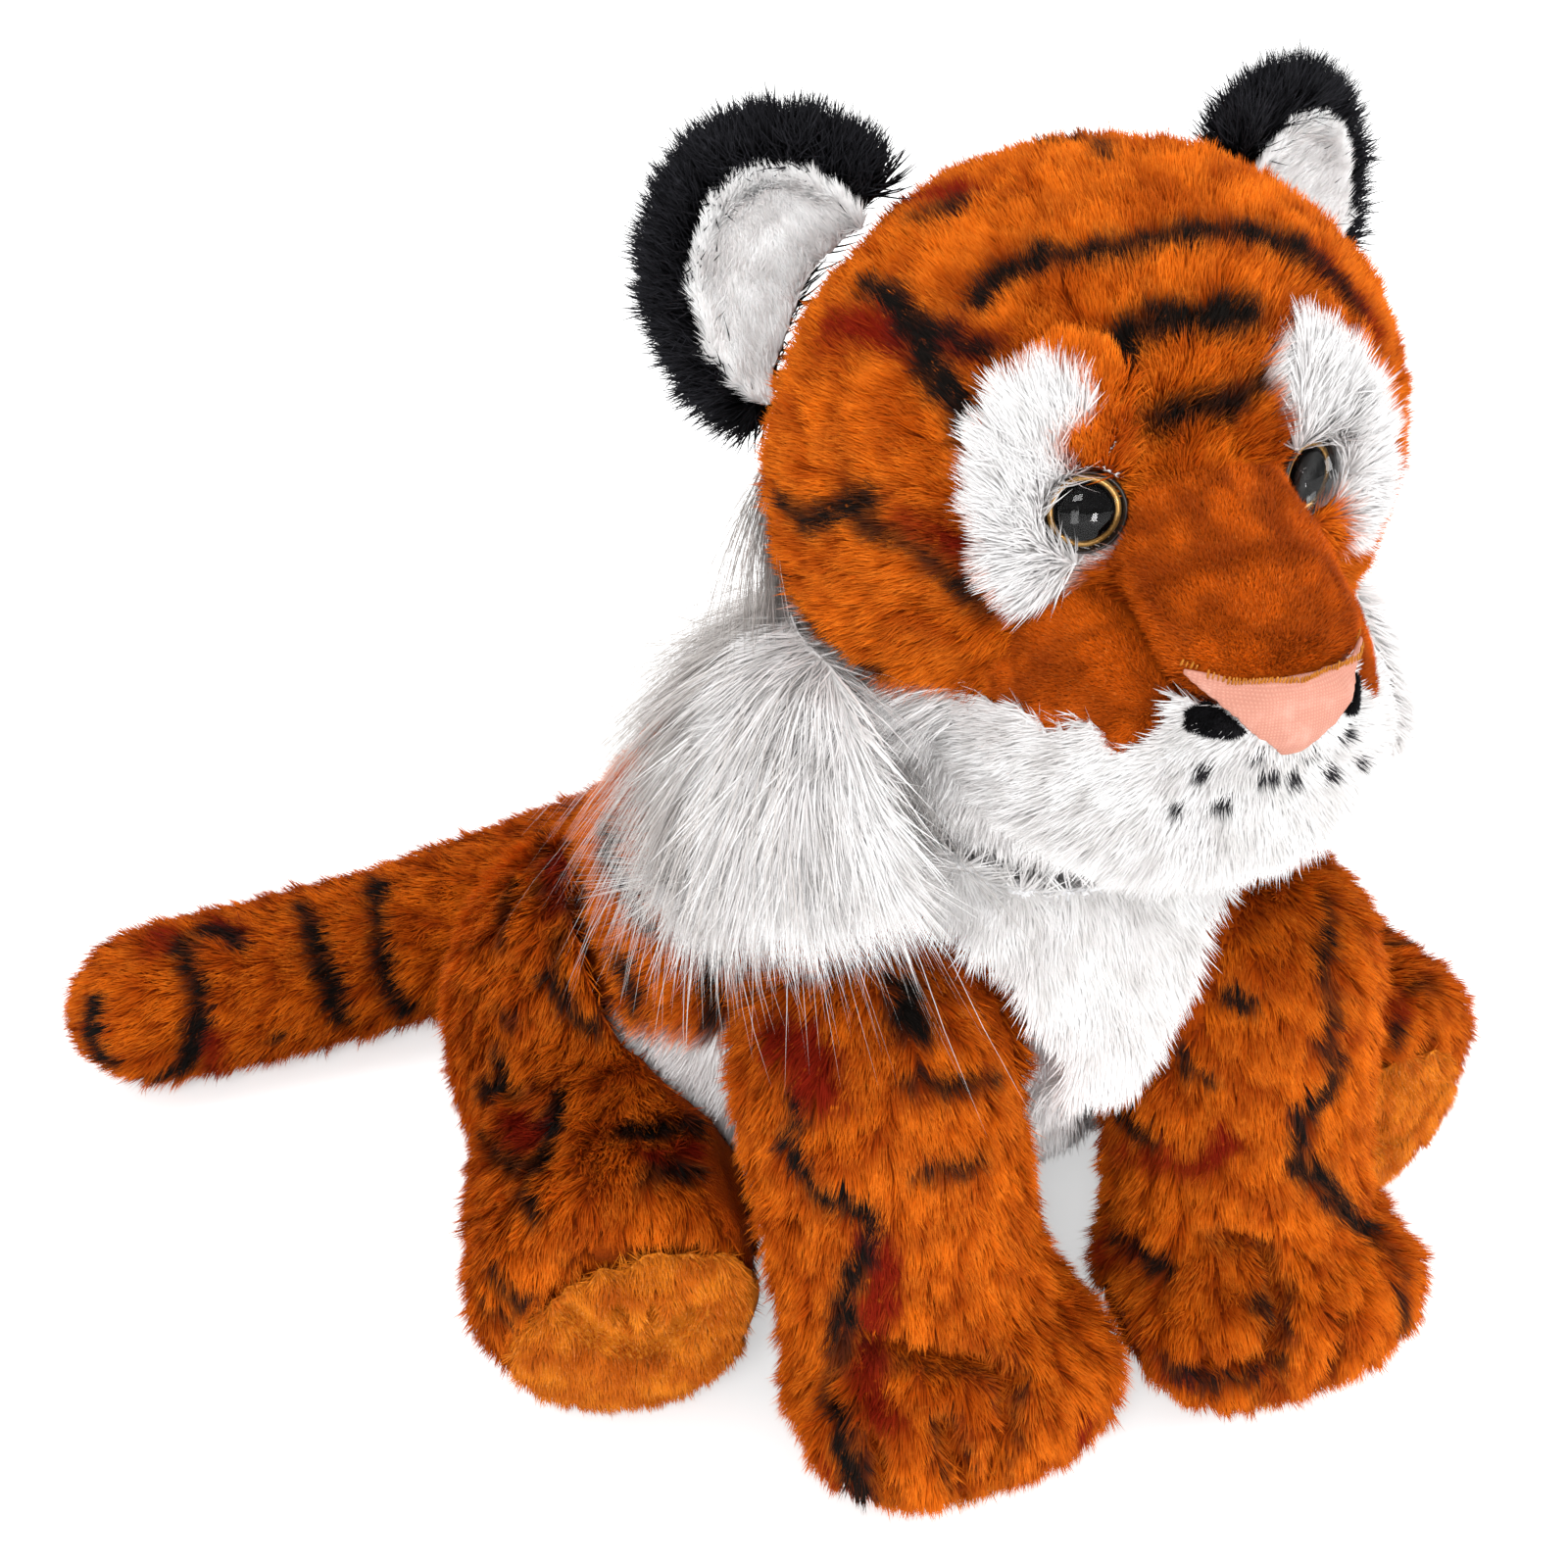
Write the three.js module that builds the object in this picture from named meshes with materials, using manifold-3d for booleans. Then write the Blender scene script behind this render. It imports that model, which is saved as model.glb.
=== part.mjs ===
// A plush tiger that sits on its rump. Millimetres, Z up, the face looks along -Y, the tiger's right side is -X.
// The origin lies on the surface that the tiger sits on, under the flat of its seat, midway between its sides.
import * as THREE from "three";
import { mergeVertices } from "three/addons/utils/BufferGeometryUtils.js";
import { ConvexGeometry } from "three/addons/geometries/ConvexGeometry.js";
import Module from "manifold-3d";

const wasm = await Module();
wasm.setup();

// Gaps and thicknesses that every piece shares
const clearance = 0.35;
const runningGap = 0.7;
const roomGap = 2.4;
const cloth = 3;
const fillingGap = 0.9;
const seamLap = 0.8;
const weld = 0.0005;
const overrun = 200;

// Head: a round form with a muzzle, chin, nose bridge, nose and two cheeks swelling out of its front
const head = { width: 129, depth: 93, height: 121, y: -56, z: 224 };
const muzzle = { width: 80, depth: 50, height: 56, y: -84, z: 189 };
const chin = { width: 54, depth: 36, height: 32, y: -80, z: 172 };
const bridge = { width: 39, depth: 42, height: 26, y: -86, z: 232, drop: 19 };
const cheek = { width: 26, depth: 36, height: 39, x: 22.5, y: -87, z: 198 };
const nose = { width: 40, depth: 27, height: 26, y: -107, z: 206 };
const nosePad = { width: 36.5, height: 16.5, top: 213.8, sag: 2, thickness: 1.6 };
const felt = { width: 19, height: 7, x: 9.4, z: 208.2, thickness: 1, slope: 0.6 };
const eyePatch = { width: 24, height: 48, x: 28.5, z: 237.5, lean: -0.15 };
const jaw = { backY: -30, backZ: 214, lowY: -62, lowZ: 189, frontY: -93, frontZ: 197 };

// Safety eye: a dark dish on a ribbed post, an iris ring, a pupil, a clear dome and the washer that locks the post
const eye = { radius: 7.6, turn: 0.34, tip: 0.08 };
const eyeShares = { x: 0.171, y: 0.407, z: 0.062 };
const dish = { floor: 1.2, rim: 1.7, lip: 0.7 };
const post = { radius: 1.7, length: 13, rib: 0.5, ribs: 2, pitch: 3 };
const pupil = { radius: 5.1, edge: 0.5, rise: 0.3 };
const dome = { rise: 3.4, edge: 1 };
const washer = { radius: 8, thickness: 1.1, depth: 3.3, slots: 4, slotReach: 4.4, slotWidth: 0.8 };

// Ears: shallow cups that stand on the sides of the crown and fold about their root seam
const ear = { width: 52, height: 62, thickness: 15, x: 51, y: -31, z: 256, turn: 0.36, lean: 0.3 };
const earDent = { width: 40, height: 50, depth: 10, lining: 2.2 };
const earRoot = { topX: 43, topY: -45, topZ: 260, lowX: 61, lowY: -30, lowZ: 225, fold: 15 };

// Neck: a ball of filling in a sleeve between the trunk and the head, and the long-haired ruff under the jaw
const neck = { radius: 36, y: -48, z: 168, gap: 0.95, sleeveHole: 20, turn: 25, nodUp: 10 };
const ruff = { topZ: 196, bottomZ: 142, backZ: 172, foreZ: 186, y: -45, rearY: -24, thickness: 6, front: 56 };
const ruffSize = { width: 156, depth: 146 };

// Trunk: from the rump on the floor up to the shoulders
const trunk = { width: 176, length: 130, height: 80, seatY: 74, seatZ: 41, thick: 144 };
const bib = { topWidth: 100, topZ: 170, bottomZ: 90, bottomWidth: 26, depthY: -44 };
const belly = { chestY: -64, chestZ: 104, flankY: 2, flankZ: 76, seatY: 34 };
const seat = { y: 48 };
const bag = { width: 74, length: 46, height: 34 };

// Legs and tail
const frontLeg = { width: 64, x: 45, y: -63, z: 100, forward: 25, rootReach: 75 };
const frontPaw = { width: 78, length: 68, height: 50, toe: -113, sole: 5 };
const pawX = { right: 34, left: 46 };
const thigh = { radius: 52, width: 84, x: 76, y: 26, z: 56, inner: 60, hingeX: 75, hingeY: 78, out: 15 };
const foot = { width: 68, height: 80, x: 100, y: -48, z: 37, bulge: 13, sole: 9, toeOut: 0.12, lean: 0.4 };
const tail = { gap: 0.9, radius: 24.5, rootY: 98, rootZ: 52, length: 180, reach: 27, hole: 15, swing: 80, tuck: 2, rootReach: 80 };

// How finely the forms are faceted, and in how many steps a swing is followed
const trunkCounts = { around: 18, along: 8, cap: 3 };
const headCounts = { around: 20, along: 7, cap: 3 };
const limbCounts = { around: 14, along: 4, cap: 3 };
const faceCounts = { around: 12, along: 3, cap: 2 };
const tailCounts = { around: 12, along: 7, cap: 3 };
const roomCounts = { around: 12, along: 4, cap: 3 };
const innerCounts = { around: 10, along: 3, cap: 2 };
const innerFaceCounts = { around: 8, along: 2, cap: 2 };
const ballCounts = { around: 20, along: 12 };
const innerBallCounts = { around: 10, along: 6 };
const bagCounts = { around: 10, along: 6 };
const earCounts = { around: 14, along: 7 };
const roundSides = 16;
const hiddenCounts = { around: 8, along: 3, cap: 2 };
const hiddenSides = 8;
const crownSteps = 3;
const outlineSegments = 5;
const legSweepSteps = 2;
const tailSweepSteps = 4;
const turnShares = [-1, -0.5, 0, 0.5, 1];

const sides = { right: -1, left: 1 };
const half = 1 / 2;
const quarterTurn = Math.PI / 2;
const degree = Math.PI / 180;
const across = new THREE.Vector3(1, 0, 0);
const ahead = new THREE.Vector3(0, -1, 0);
const up = new THREE.Vector3(0, 0, 1);
const at = (x, y, z) => new THREE.Vector3(x, y, z);

// Solids

function solid(geometry) {
  const bare = geometry.index ? geometry.toNonIndexed() : geometry.clone();
  bare.deleteAttribute("normal");
  bare.deleteAttribute("uv");
  const merged = mergeVertices(bare, weld);
  const vertProperties = merged.getAttribute("position").array;
  const triVerts = new Uint32Array(merged.index.array);
  return new wasm.Manifold(new wasm.Mesh({ numProp: 3, vertProperties, triVerts }));
}

function geometryOf(body) {
  const mesh = body.getMesh();
  const geometry = new THREE.BufferGeometry();
  geometry.setAttribute("position", new THREE.BufferAttribute(mesh.vertProperties, mesh.numProp));
  geometry.setIndex(new THREE.BufferAttribute(mesh.triVerts, 1));
  return geometry;
}

const join = (bodies) => bodies.reduce((all, body) => all.add(body));
const cut = (body, cutters) => cutters.reduce((rest, cutter) => rest.subtract(cutter), body);

// A panel cut out of a curved shell can leave slivers beside its seams; the panel itself is the largest body.
function largest(body) {
  return body.decompose().reduce((big, next) => (next.volume() > big.volume() ? next : big));
}

// A block that fills everything on one side of a plane through a point
function beyond(point, normal) {
  const size = 2 * overrun;
  const block = new THREE.BoxGeometry(size, size, size).translate(0, 0, overrun);
  const turn = new THREE.Quaternion().setFromUnitVectors(up, normal.clone().normalize());
  return solid(block.applyQuaternion(turn).translate(point.x, point.y, point.z));
}

const belowHeight = (z) => beyond(at(0, 0, z), at(0, 0, -1));

function moved(body, matrix) {
  return solid(geometryOf(body).applyMatrix4(matrix));
}

function turnAbout(pivot, axis, angle) {
  const there = new THREE.Matrix4().makeTranslation(pivot.x, pivot.y, pivot.z);
  const back = new THREE.Matrix4().makeTranslation(-pivot.x, -pivot.y, -pivot.z);
  return there.multiply(new THREE.Matrix4().makeRotationAxis(axis, degree * angle)).multiply(back);
}

// The room that the root of a limb needs as it swings: the hull of that root at every step of its travel
function travelRoom(body, pivot, axis, from, to, reach, steps) {
  const points = [];
  const position = geometryOf(body).getAttribute("position");
  for (let i = 0; i < position.count; i++) {
    const point = new THREE.Vector3().fromBufferAttribute(position, i);
    if (point.distanceTo(pivot) > reach) continue;
    for (let step = 0; step <= steps; step++) {
      const angle = from + ((to - from) * step) / steps;
      points.push(point.clone().applyMatrix4(turnAbout(pivot, axis, angle)));
    }
  }
  return solid(new ConvexGeometry(points));
}

// Soft forms

// The surface through a row of oval rings; the first and last rings have shrunk to points.
function skin(rings, around) {
  const points = [];
  for (const ring of rings) {
    for (let i = 0; i < around; i++) {
      const angle = (2 * Math.PI * i) / around;
      const point = ring.middle.clone();
      point.addScaledVector(ring.wideWay, ring.wide * Math.cos(angle));
      point.addScaledVector(ring.tallWay, ring.tall * Math.sin(angle));
      points.push(point);
    }
  }
  const corners = [];
  for (let ring = 0; ring + 1 < rings.length; ring++) {
    for (let i = 0; i < around; i++) {
      const next = (i + 1) % around;
      const [a, b] = [points[ring * around + i], points[ring * around + next]];
      const [c, d] = [points[(ring + 1) * around + i], points[(ring + 1) * around + next]];
      if (ring > 0) corners.push(a, b, c);
      if (ring + 2 < rings.length) corners.push(b, d, c);
    }
  }
  return new THREE.BufferGeometry().setFromPoints(corners);
}

// A stuffed form: oval sections along a curve with a rounded cap at each end. A station holds the middle of a
// section and its half sizes, grow swells the whole form, and level is the way the width of its sections runs.
function stuffed(stations, caps, counts, grow, level = across) {
  const path = new THREE.CatmullRomCurve3(stations.map((station) => station.middle));
  const sizes = new THREE.CatmullRomCurve3(stations.map((station) => at(station.wide, station.tall, 0)));
  const rings = [];
  const addRing = (t, shift, share) => {
    const along = path.getTangent(t);
    const wideWay = level.clone().addScaledVector(along, -level.dot(along)).normalize();
    const tallWay = new THREE.Vector3().crossVectors(along, wideWay);
    const size = sizes.getPoint(t);
    const middle = path.getPoint(t).addScaledVector(along, shift);
    rings.push({ middle, wideWay, tallWay, wide: (size.x + grow) * share, tall: (size.y + grow) * share });
  };
  for (let i = counts.cap; i > 0; i--) {
    const angle = (quarterTurn * i) / counts.cap;
    addRing(0, -(caps.start + grow) * Math.sin(angle), Math.cos(angle));
  }
  for (let i = 0; i <= counts.along; i++) addRing(i / counts.along, 0, 1);
  for (let i = 1; i <= counts.cap; i++) {
    const angle = (quarterTurn * i) / counts.cap;
    addRing(1, (caps.end + grow) * Math.sin(angle), Math.cos(angle));
  }
  return solid(skin(rings, counts.around));
}

// Stations from rows of shares: the middle as shares of a reach from a start, the half sizes as shares of a size
function stationsOf(rows, from, reach, size) {
  return rows.map((row) => ({
    middle: at(from.x + reach.x * (row.x ?? 0), from.y + reach.y * row.y, from.z + reach.z * row.z),
    wide: half * size.wide * row.wide,
    tall: half * size.tall * row.tall,
  }));
}

// A swelling on the face, pointing forward from its own middle
function faceForm(rows, capShare, size, counts, grow, x = 0) {
  const way = { x: Math.sign(x) * size.width, y: -size.depth, z: size.drop ?? size.height };
  const stations = stationsOf(rows, at(x, size.y, size.z), way, { wide: size.width, tall: size.height });
  const caps = { start: size.depth * capShare, end: size.depth * capShare };
  return stuffed(stations, caps, counts, grow);
}

// Flat outlines run through the form: given as x and z and run forward, or as y and z and run from side to side
function frontPrism(outline, startY) {
  const run = new THREE.ExtrudeGeometry(outline, { depth: overrun, bevelEnabled: false, curveSegments: outlineSegments });
  return solid(run.rotateX(quarterTurn).translate(0, startY, 0));
}

function sidePrism(points) {
  const outline = new THREE.Shape(points.map((point) => new THREE.Vector2(point.y, point.z)));
  const run = new THREE.ExtrudeGeometry(outline, { depth: 2 * overrun, bevelEnabled: false });
  const turn = new THREE.Matrix4().makeBasis(at(0, 1, 0), up, across);
  return solid(run.translate(0, 0, -overrun).applyMatrix4(turn));
}

function splineShape(points) {
  const first = points[0];
  const outline = new THREE.Shape();
  outline.moveTo(first.x, first.y);
  outline.splineThru([...points.slice(1), first]);
  return outline;
}

// The head's own forms

const headRows = [
  { y: 0.72, z: 0.02, wide: 0.7, tall: 0.72 },
  { y: 0.36, z: 0.03, wide: 0.95, tall: 0.95 },
  { y: -0.02, z: 0, wide: 1, tall: 1 },
  { y: -0.38, z: -0.02, wide: 0.92, tall: 0.93 },
  { y: -0.64, z: -0.05, wide: 0.74, tall: 0.78 },
];
const muzzleRows = [
  { y: -0.3, z: 0, wide: 0.96, tall: 0.96 },
  { y: 0.2, z: 0, wide: 1, tall: 1 },
  { y: 0.62, z: 0, wide: 0.84, tall: 0.86 },
];
const chinRows = [
  { y: -0.2, z: 0.1, wide: 1.1, tall: 1 },
  { y: 0.2, z: 0, wide: 1, tall: 1 },
  { y: 0.55, z: -0.03, wide: 0.82, tall: 0.86 },
];
const bridgeRows = [
  { y: -0.1, z: 0, wide: 1.12, tall: 0.9 },
  { y: 0.4, z: -0.42, wide: 1, tall: 1 },
  { y: 0.84, z: -1, wide: 0.98, tall: 0.9 },
];
const cheekRows = [
  { x: 0, y: -0.1, z: 0, wide: 1, tall: 1 },
  { x: -0.05, y: 0.3, z: -0.02, wide: 0.98, tall: 1 },
  { x: -0.12, y: 0.6, z: -0.06, wide: 0.8, tall: 0.84 },
];
const noseRows = [
  { y: -0.1, z: 0.05, wide: 1, tall: 0.96 },
  { y: 0.3, z: 0, wide: 1, tall: 1 },
  { y: 0.66, z: -0.08, wide: 0.84, tall: 0.86 },
];
const capShares = { head: 0.15, muzzle: 0.3, chin: 0.34, bridge: 0.22, cheek: 0.34, nose: 0.34 };

function headForm(grow, counts = headCounts) {
  const way = at(0, half * head.depth, half * head.height);
  const stations = stationsOf(headRows, at(0, head.y, head.z), way, { wide: head.width, tall: head.height });
  const caps = { start: head.depth * capShares.head, end: head.depth * capShares.head };
  return stuffed(stations, caps, counts, grow);
}

const muzzleForm = (grow, counts) => faceForm(muzzleRows, capShares.muzzle, muzzle, counts, grow);
const chinForm = (grow, counts) => faceForm(chinRows, capShares.chin, chin, counts, grow);
const bridgeForm = (grow, counts) => faceForm(bridgeRows, capShares.bridge, bridge, counts, grow);
const noseForm = (grow, counts) => faceForm(noseRows, capShares.nose, nose, counts, grow);
const cheekForm = (side, grow, counts) =>
  faceForm(cheekRows, capShares.cheek, cheek, counts, grow, side * cheek.x);

function wholeHead(grow, roundCounts = headCounts, smallCounts = faceCounts) {
  return join([
    headForm(grow, roundCounts),
    muzzleForm(grow, smallCounts),
    chinForm(grow, smallCounts),
    bridgeForm(grow, smallCounts),
    noseForm(grow, smallCounts),
    cheekForm(sides.right, grow, smallCounts),
    cheekForm(sides.left, grow, smallCounts),
  ]);
}

// The stuffed space inside the sewn face, without the smallest swellings
function innerHead(grow) {
  const swellings = [muzzleForm, chinForm, bridgeForm].map((form) => form(grow, innerFaceCounts));
  return join([headForm(grow, innerCounts), ...swellings]);
}

// Outlines of the face panels, each swollen by a margin when its neighbours are cut back to leave a seam

const eyePatchShares = [
  { x: 0.06, z: 0.5 },
  { x: 0.42, z: 0.3 },
  { x: 0.5, z: 0 },
  { x: 0.42, z: -0.24 },
  { x: 0.1, z: -0.5 },
  { x: -0.18, z: -0.42 },
  { x: -0.46, z: -0.12 },
  { x: -0.46, z: 0.16 },
  { x: -0.34, z: 0.42 },
];

function eyePatchPrism(side, margin) {
  const points = eyePatchShares.map((share) => {
    const z = share.z * (eyePatch.height + 2 * margin);
    const x = eyePatch.x + share.x * (eyePatch.width + 2 * margin) + z * eyePatch.lean;
    return new THREE.Vector2(side * x, eyePatch.z + z);
  });
  return frontPrism(splineShape(points), head.y);
}

function nosePrism(margin) {
  const reach = half * nosePad.width + margin;
  const top = nosePad.top + margin;
  const tip = nosePad.top - nosePad.height - margin;
  const round = nosePad.sag;
  const outline = new THREE.Shape();
  outline.moveTo(-reach, top - round);
  outline.quadraticCurveTo(-reach, top, round - reach, top);
  outline.quadraticCurveTo(0, top - round, reach - round, top);
  outline.quadraticCurveTo(reach, top, reach, top - round);
  outline.lineTo(round, tip);
  outline.lineTo(-round, tip);
  outline.closePath();
  return frontPrism(outline, nose.y);
}

function feltPrism(side) {
  const outline = new THREE.Shape();
  outline.absellipse(side * felt.x, felt.z, half * felt.width, half * felt.height, 0, 2 * Math.PI, false, -side * felt.slope);
  return frontPrism(outline, nose.y);
}

// Everything below the lower edge of the striped mask, from behind the ear to the point beside the cheek
function throatPrism(margin) {
  return sidePrism([
    { y: overrun, z: jaw.backZ + overrun },
    { y: jaw.backY + margin, z: jaw.backZ + margin },
    { y: jaw.lowY, z: jaw.lowZ + margin },
    { y: jaw.frontY, z: jaw.frontZ + margin },
    { y: -overrun, z: jaw.frontZ + margin },
    { y: -overrun, z: -overrun },
    { y: overrun, z: -overrun },
  ]);
}

// Neck and ruff

const neckMiddle = at(0, neck.y, neck.z);

function neckBall(grow, counts = ballCounts) {
  const ball = new THREE.SphereGeometry(neck.radius + grow, counts.around, counts.along);
  return solid(ball.rotateX(quarterTurn).translate(0, neck.y, neck.z));
}

function neckSleeve() {
  const hole = new THREE.CylinderGeometry(neck.sleeveHole, neck.sleeveHole, overrun, roundSides);
  hole.rotateX(quarterTurn).translate(0, neck.y, neck.z);
  return cut(neckBall(0), [neckBall(-cloth, innerBallCounts), solid(hole)]);
}

const ruffRows = [
  { z: 0, wide: 0.76, deep: 0.62, y: -0.08 },
  { z: 0.34, wide: 0.9, deep: 0.82, y: -0.03 },
  { z: 0.7, wide: 0.98, deep: 0.96, y: 0 },
  { z: 1, wide: 1, deep: 1, y: 0 },
];

function ruffCone(grow, over) {
  const rings = ruffRows.map((row, i) => {
    const rise = i === 0 ? over : i === ruffRows.length - 1 ? -over : 0;
    return {
      middle: at(0, ruff.y + row.y * ruffSize.depth, ruff.topZ + rise + (ruff.bottomZ - ruff.topZ) * row.z),
      wideWay: across,
      tallWay: ahead,
      wide: half * ruffSize.width * row.wide + grow,
      tall: half * ruffSize.depth * row.deep + grow,
    };
  });
  const point = (ring) => ({ ...ring, wide: 0, tall: 0 });
  return solid(skin([point(rings[0]), ...rings, point(rings.at(-1))], ballCounts.around));
}

// The shoulders as the ruff meets them while the raised head turns from side to side
function shoulderRooms() {
  const lowered = turnAbout(neckMiddle, across, neck.nodUp);
  return turnShares.map((share) => {
    const turned = turnAbout(neckMiddle, up, share * neck.turn);
    return moved(trunkForm(roomGap, roomCounts), lowered.clone().multiply(turned));
  });
}

// The lower edge rises at the back of the neck and towards both ends, and the front is open between them.
function ruffForm() {
  const lower = sidePrism([
    { y: -overrun, z: ruff.bottomZ - overrun },
    { y: -overrun, z: ruff.foreZ },
    { y: ruff.y - half * ruffSize.depth, z: ruff.foreZ },
    { y: ruff.y, z: ruff.bottomZ },
    { y: ruff.rearY, z: ruff.bottomZ },
    { y: ruff.y + half * ruffSize.depth, z: ruff.backZ },
    { y: overrun, z: ruff.backZ },
    { y: overrun, z: ruff.bottomZ - overrun },
  ]);
  const opening = new THREE.BoxGeometry(2 * ruff.front, overrun, 2 * overrun);
  opening.translate(0, ruff.y - half * overrun, ruff.bottomZ);
  return cut(ruffCone(0, 0), [ruffCone(-ruff.thickness, ruff.thickness), lower, solid(opening), ...shoulderRooms()]);
}

// Trunk

const trunkRows = [
  { y: 0, z: 0, wide: 0.8, tall: 0.74 },
  { y: 0.19, z: 0.2, wide: 0.96, tall: 0.94 },
  { y: 0.44, z: 0.47, wide: 1.02, tall: 1.01 },
  { y: 0.68, z: 0.7, wide: 0.96, tall: 0.86 },
  { y: 0.88, z: 0.88, wide: 0.79, tall: 0.67 },
  { y: 1.07, z: 0.98, wide: 0.62, tall: 0.56 },
];
const trunkCapShares = { start: 0.2, end: 0.14 };

function trunkForm(grow, counts = trunkCounts) {
  const way = at(0, -trunk.length, trunk.height);
  const stations = stationsOf(trunkRows, at(0, trunk.seatY, trunk.seatZ), way, {
    wide: trunk.width,
    tall: trunk.thick,
  });
  const caps = { start: trunk.thick * trunkCapShares.start, end: trunk.thick * trunkCapShares.end };
  return stuffed(stations, caps, counts, grow);
}

function bibPrism(margin) {
  const outline = new THREE.Shape();
  const top = half * bib.topWidth + margin;
  const bottom = half * bib.bottomWidth + margin;
  outline.moveTo(-top, bib.topZ);
  outline.lineTo(-bottom, bib.bottomZ);
  outline.quadraticCurveTo(0, bib.bottomZ - bottom, bottom, bib.bottomZ);
  outline.lineTo(top, bib.topZ);
  outline.closePath();
  return frontPrism(outline, bib.depthY + margin);
}

function bellyPrism(margin) {
  return sidePrism([
    { y: -overrun, z: belly.chestZ + margin },
    { y: belly.chestY, z: belly.chestZ + margin },
    { y: belly.flankY + margin, z: belly.flankZ + margin },
    { y: belly.seatY + margin, z: 0 },
    { y: belly.seatY + margin, z: -overrun },
    { y: -overrun, z: -overrun },
  ]);
}

function bagForm(grow) {
  const ball = new THREE.SphereGeometry(1, bagCounts.around, bagCounts.along).rotateX(quarterTurn);
  ball.scale(half * bag.width + grow, half * bag.length + grow, half * bag.height + grow);
  const floorZ = cloth + clearance + half * bag.height;
  return solid(ball.translate(0, seat.y, floorZ));
}

// Legs

const frontLegRows = [
  { x: 0, y: 0, z: 0, wide: 1, tall: 1 },
  { x: 0.2, y: -0.02, z: -0.28, wide: 0.98, tall: 0.98 },
  { x: 0.5, y: -0.06, z: -0.54, wide: 0.98, tall: 0.96 },
  { x: 0.9, y: -0.12, z: -0.76, wide: 0.96, tall: 0.9 },
];
const frontLegCapShares = { start: 0.5, end: 0.3 };
const frontPawRows = [
  { y: 0.8, z: 0.46, wide: 0.8, tall: 0.9 },
  { y: 0.56, z: 0.48, wide: 0.97, tall: 1 },
  { y: 0.28, z: 0.46, wide: 1, tall: 0.94 },
];
const frontPawCapShares = { start: 0.16, end: 0.28 };

const nameOf = (side) => (side === sides.right ? "right" : "left");
const shoulder = (side) => at(side * frontLeg.x, frontLeg.y, frontLeg.z);

function frontLegTube(side, grow, counts) {
  const drift = side * (pawX[nameOf(side)] - frontLeg.x);
  const way = at(drift, frontLeg.z, frontLeg.z);
  const size = { wide: frontLeg.width, tall: frontLeg.width };
  const stations = stationsOf(frontLegRows, shoulder(side), way, size);
  const caps = { start: frontLeg.width * frontLegCapShares.start, end: frontLeg.width * frontLegCapShares.end };
  return stuffed(stations, caps, counts, grow);
}

function frontPawForm(side, grow, counts) {
  const way = at(0, frontPaw.length, frontPaw.height);
  const from = at(side * pawX[nameOf(side)], frontPaw.toe, 0);
  const stations = stationsOf(frontPawRows, from, way, { wide: frontPaw.width, tall: frontPaw.height });
  const caps = { start: frontPaw.length * frontPawCapShares.start, end: frontPaw.length * frontPawCapShares.end };
  return stuffed(stations, caps, counts, grow);
}

const frontLegForm = (side, grow, counts = limbCounts) =>
  frontLegTube(side, grow, counts).add(frontPawForm(side, grow, counts));

function thighForm(side, grow, counts) {
  const ball = new THREE.SphereGeometry(1, counts.around, Math.round(half * counts.around)).rotateZ(quarterTurn);
  ball.scale(half * thigh.width + grow, thigh.radius + grow, thigh.radius + grow);
  ball.translate(side * thigh.x, thigh.y, thigh.z);
  return solid(ball);
}

const shankRows = [
  { x: 0, y: 0, z: 0, wide: 0.86, tall: 0.94 },
  { x: 0.55, y: 0.5, z: 0.6, wide: 0.96, tall: 0.96 },
  { x: 1, y: 1, z: 1, wide: 1, tall: 1 },
];

function shankForm(side, grow, counts) {
  const way = at(side * (foot.x - thigh.x), foot.y - thigh.y, foot.z - thigh.z);
  const from = at(side * thigh.x, thigh.y, thigh.z);
  const stations = stationsOf(shankRows, from, way, { wide: foot.width, tall: foot.height });
  return stuffed(stations, { start: foot.bulge, end: foot.bulge }, counts, grow);
}

function hindLegForm(side, grow, counts = limbCounts) {
  const inside = beyond(at(side * (thigh.inner - grow), 0, 0), at(-side, 0, 0));
  return thighForm(side, grow, counts).add(shankForm(side, grow, counts)).subtract(inside);
}

// The half space in front of the seam between a hind foot and its sole
function hindSoleSpace(side, back) {
  const facing = at(side * foot.toeOut, -1, -foot.lean).normalize();
  const depth = foot.bulge - foot.sole - back;
  return beyond(at(side * foot.x, foot.y, foot.z).addScaledVector(facing, depth), facing);
}

// Tail

const tailRows = [
  { x: 0, y: 0, z: 0, wide: 1, tall: 1 },
  { x: -0.12, y: 0.66, z: -0.16, wide: 1.02, tall: 1.02 },
  { x: -0.4, y: 1, z: -0.7, wide: 1.02, tall: 1.02 },
  { x: -0.7, y: 1.02, z: -0.98, wide: 0.98, tall: 0.98 },
  { x: -1, y: 0.96, z: -1, wide: 0.96, tall: 0.96 },
];
const tailRoot = at(0, tail.rootY, tail.rootZ);

function tailForm(grow, counts = tailCounts) {
  const way = at(tail.length, tail.reach, tail.rootZ - tail.radius);
  const stations = stationsOf(tailRows, tailRoot, way, { wide: 2 * tail.radius, tall: 2 * tail.radius });
  return stuffed(stations, { start: tail.radius, end: tail.radius }, counts, grow, up);
}

// Ears

function earPlace(side) {
  const place = new THREE.Matrix4().makeTranslation(side * ear.x, ear.y, ear.z);
  place.multiply(new THREE.Matrix4().makeRotationZ(side * ear.turn));
  return place.multiply(new THREE.Matrix4().makeRotationY(side * ear.lean));
}

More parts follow.
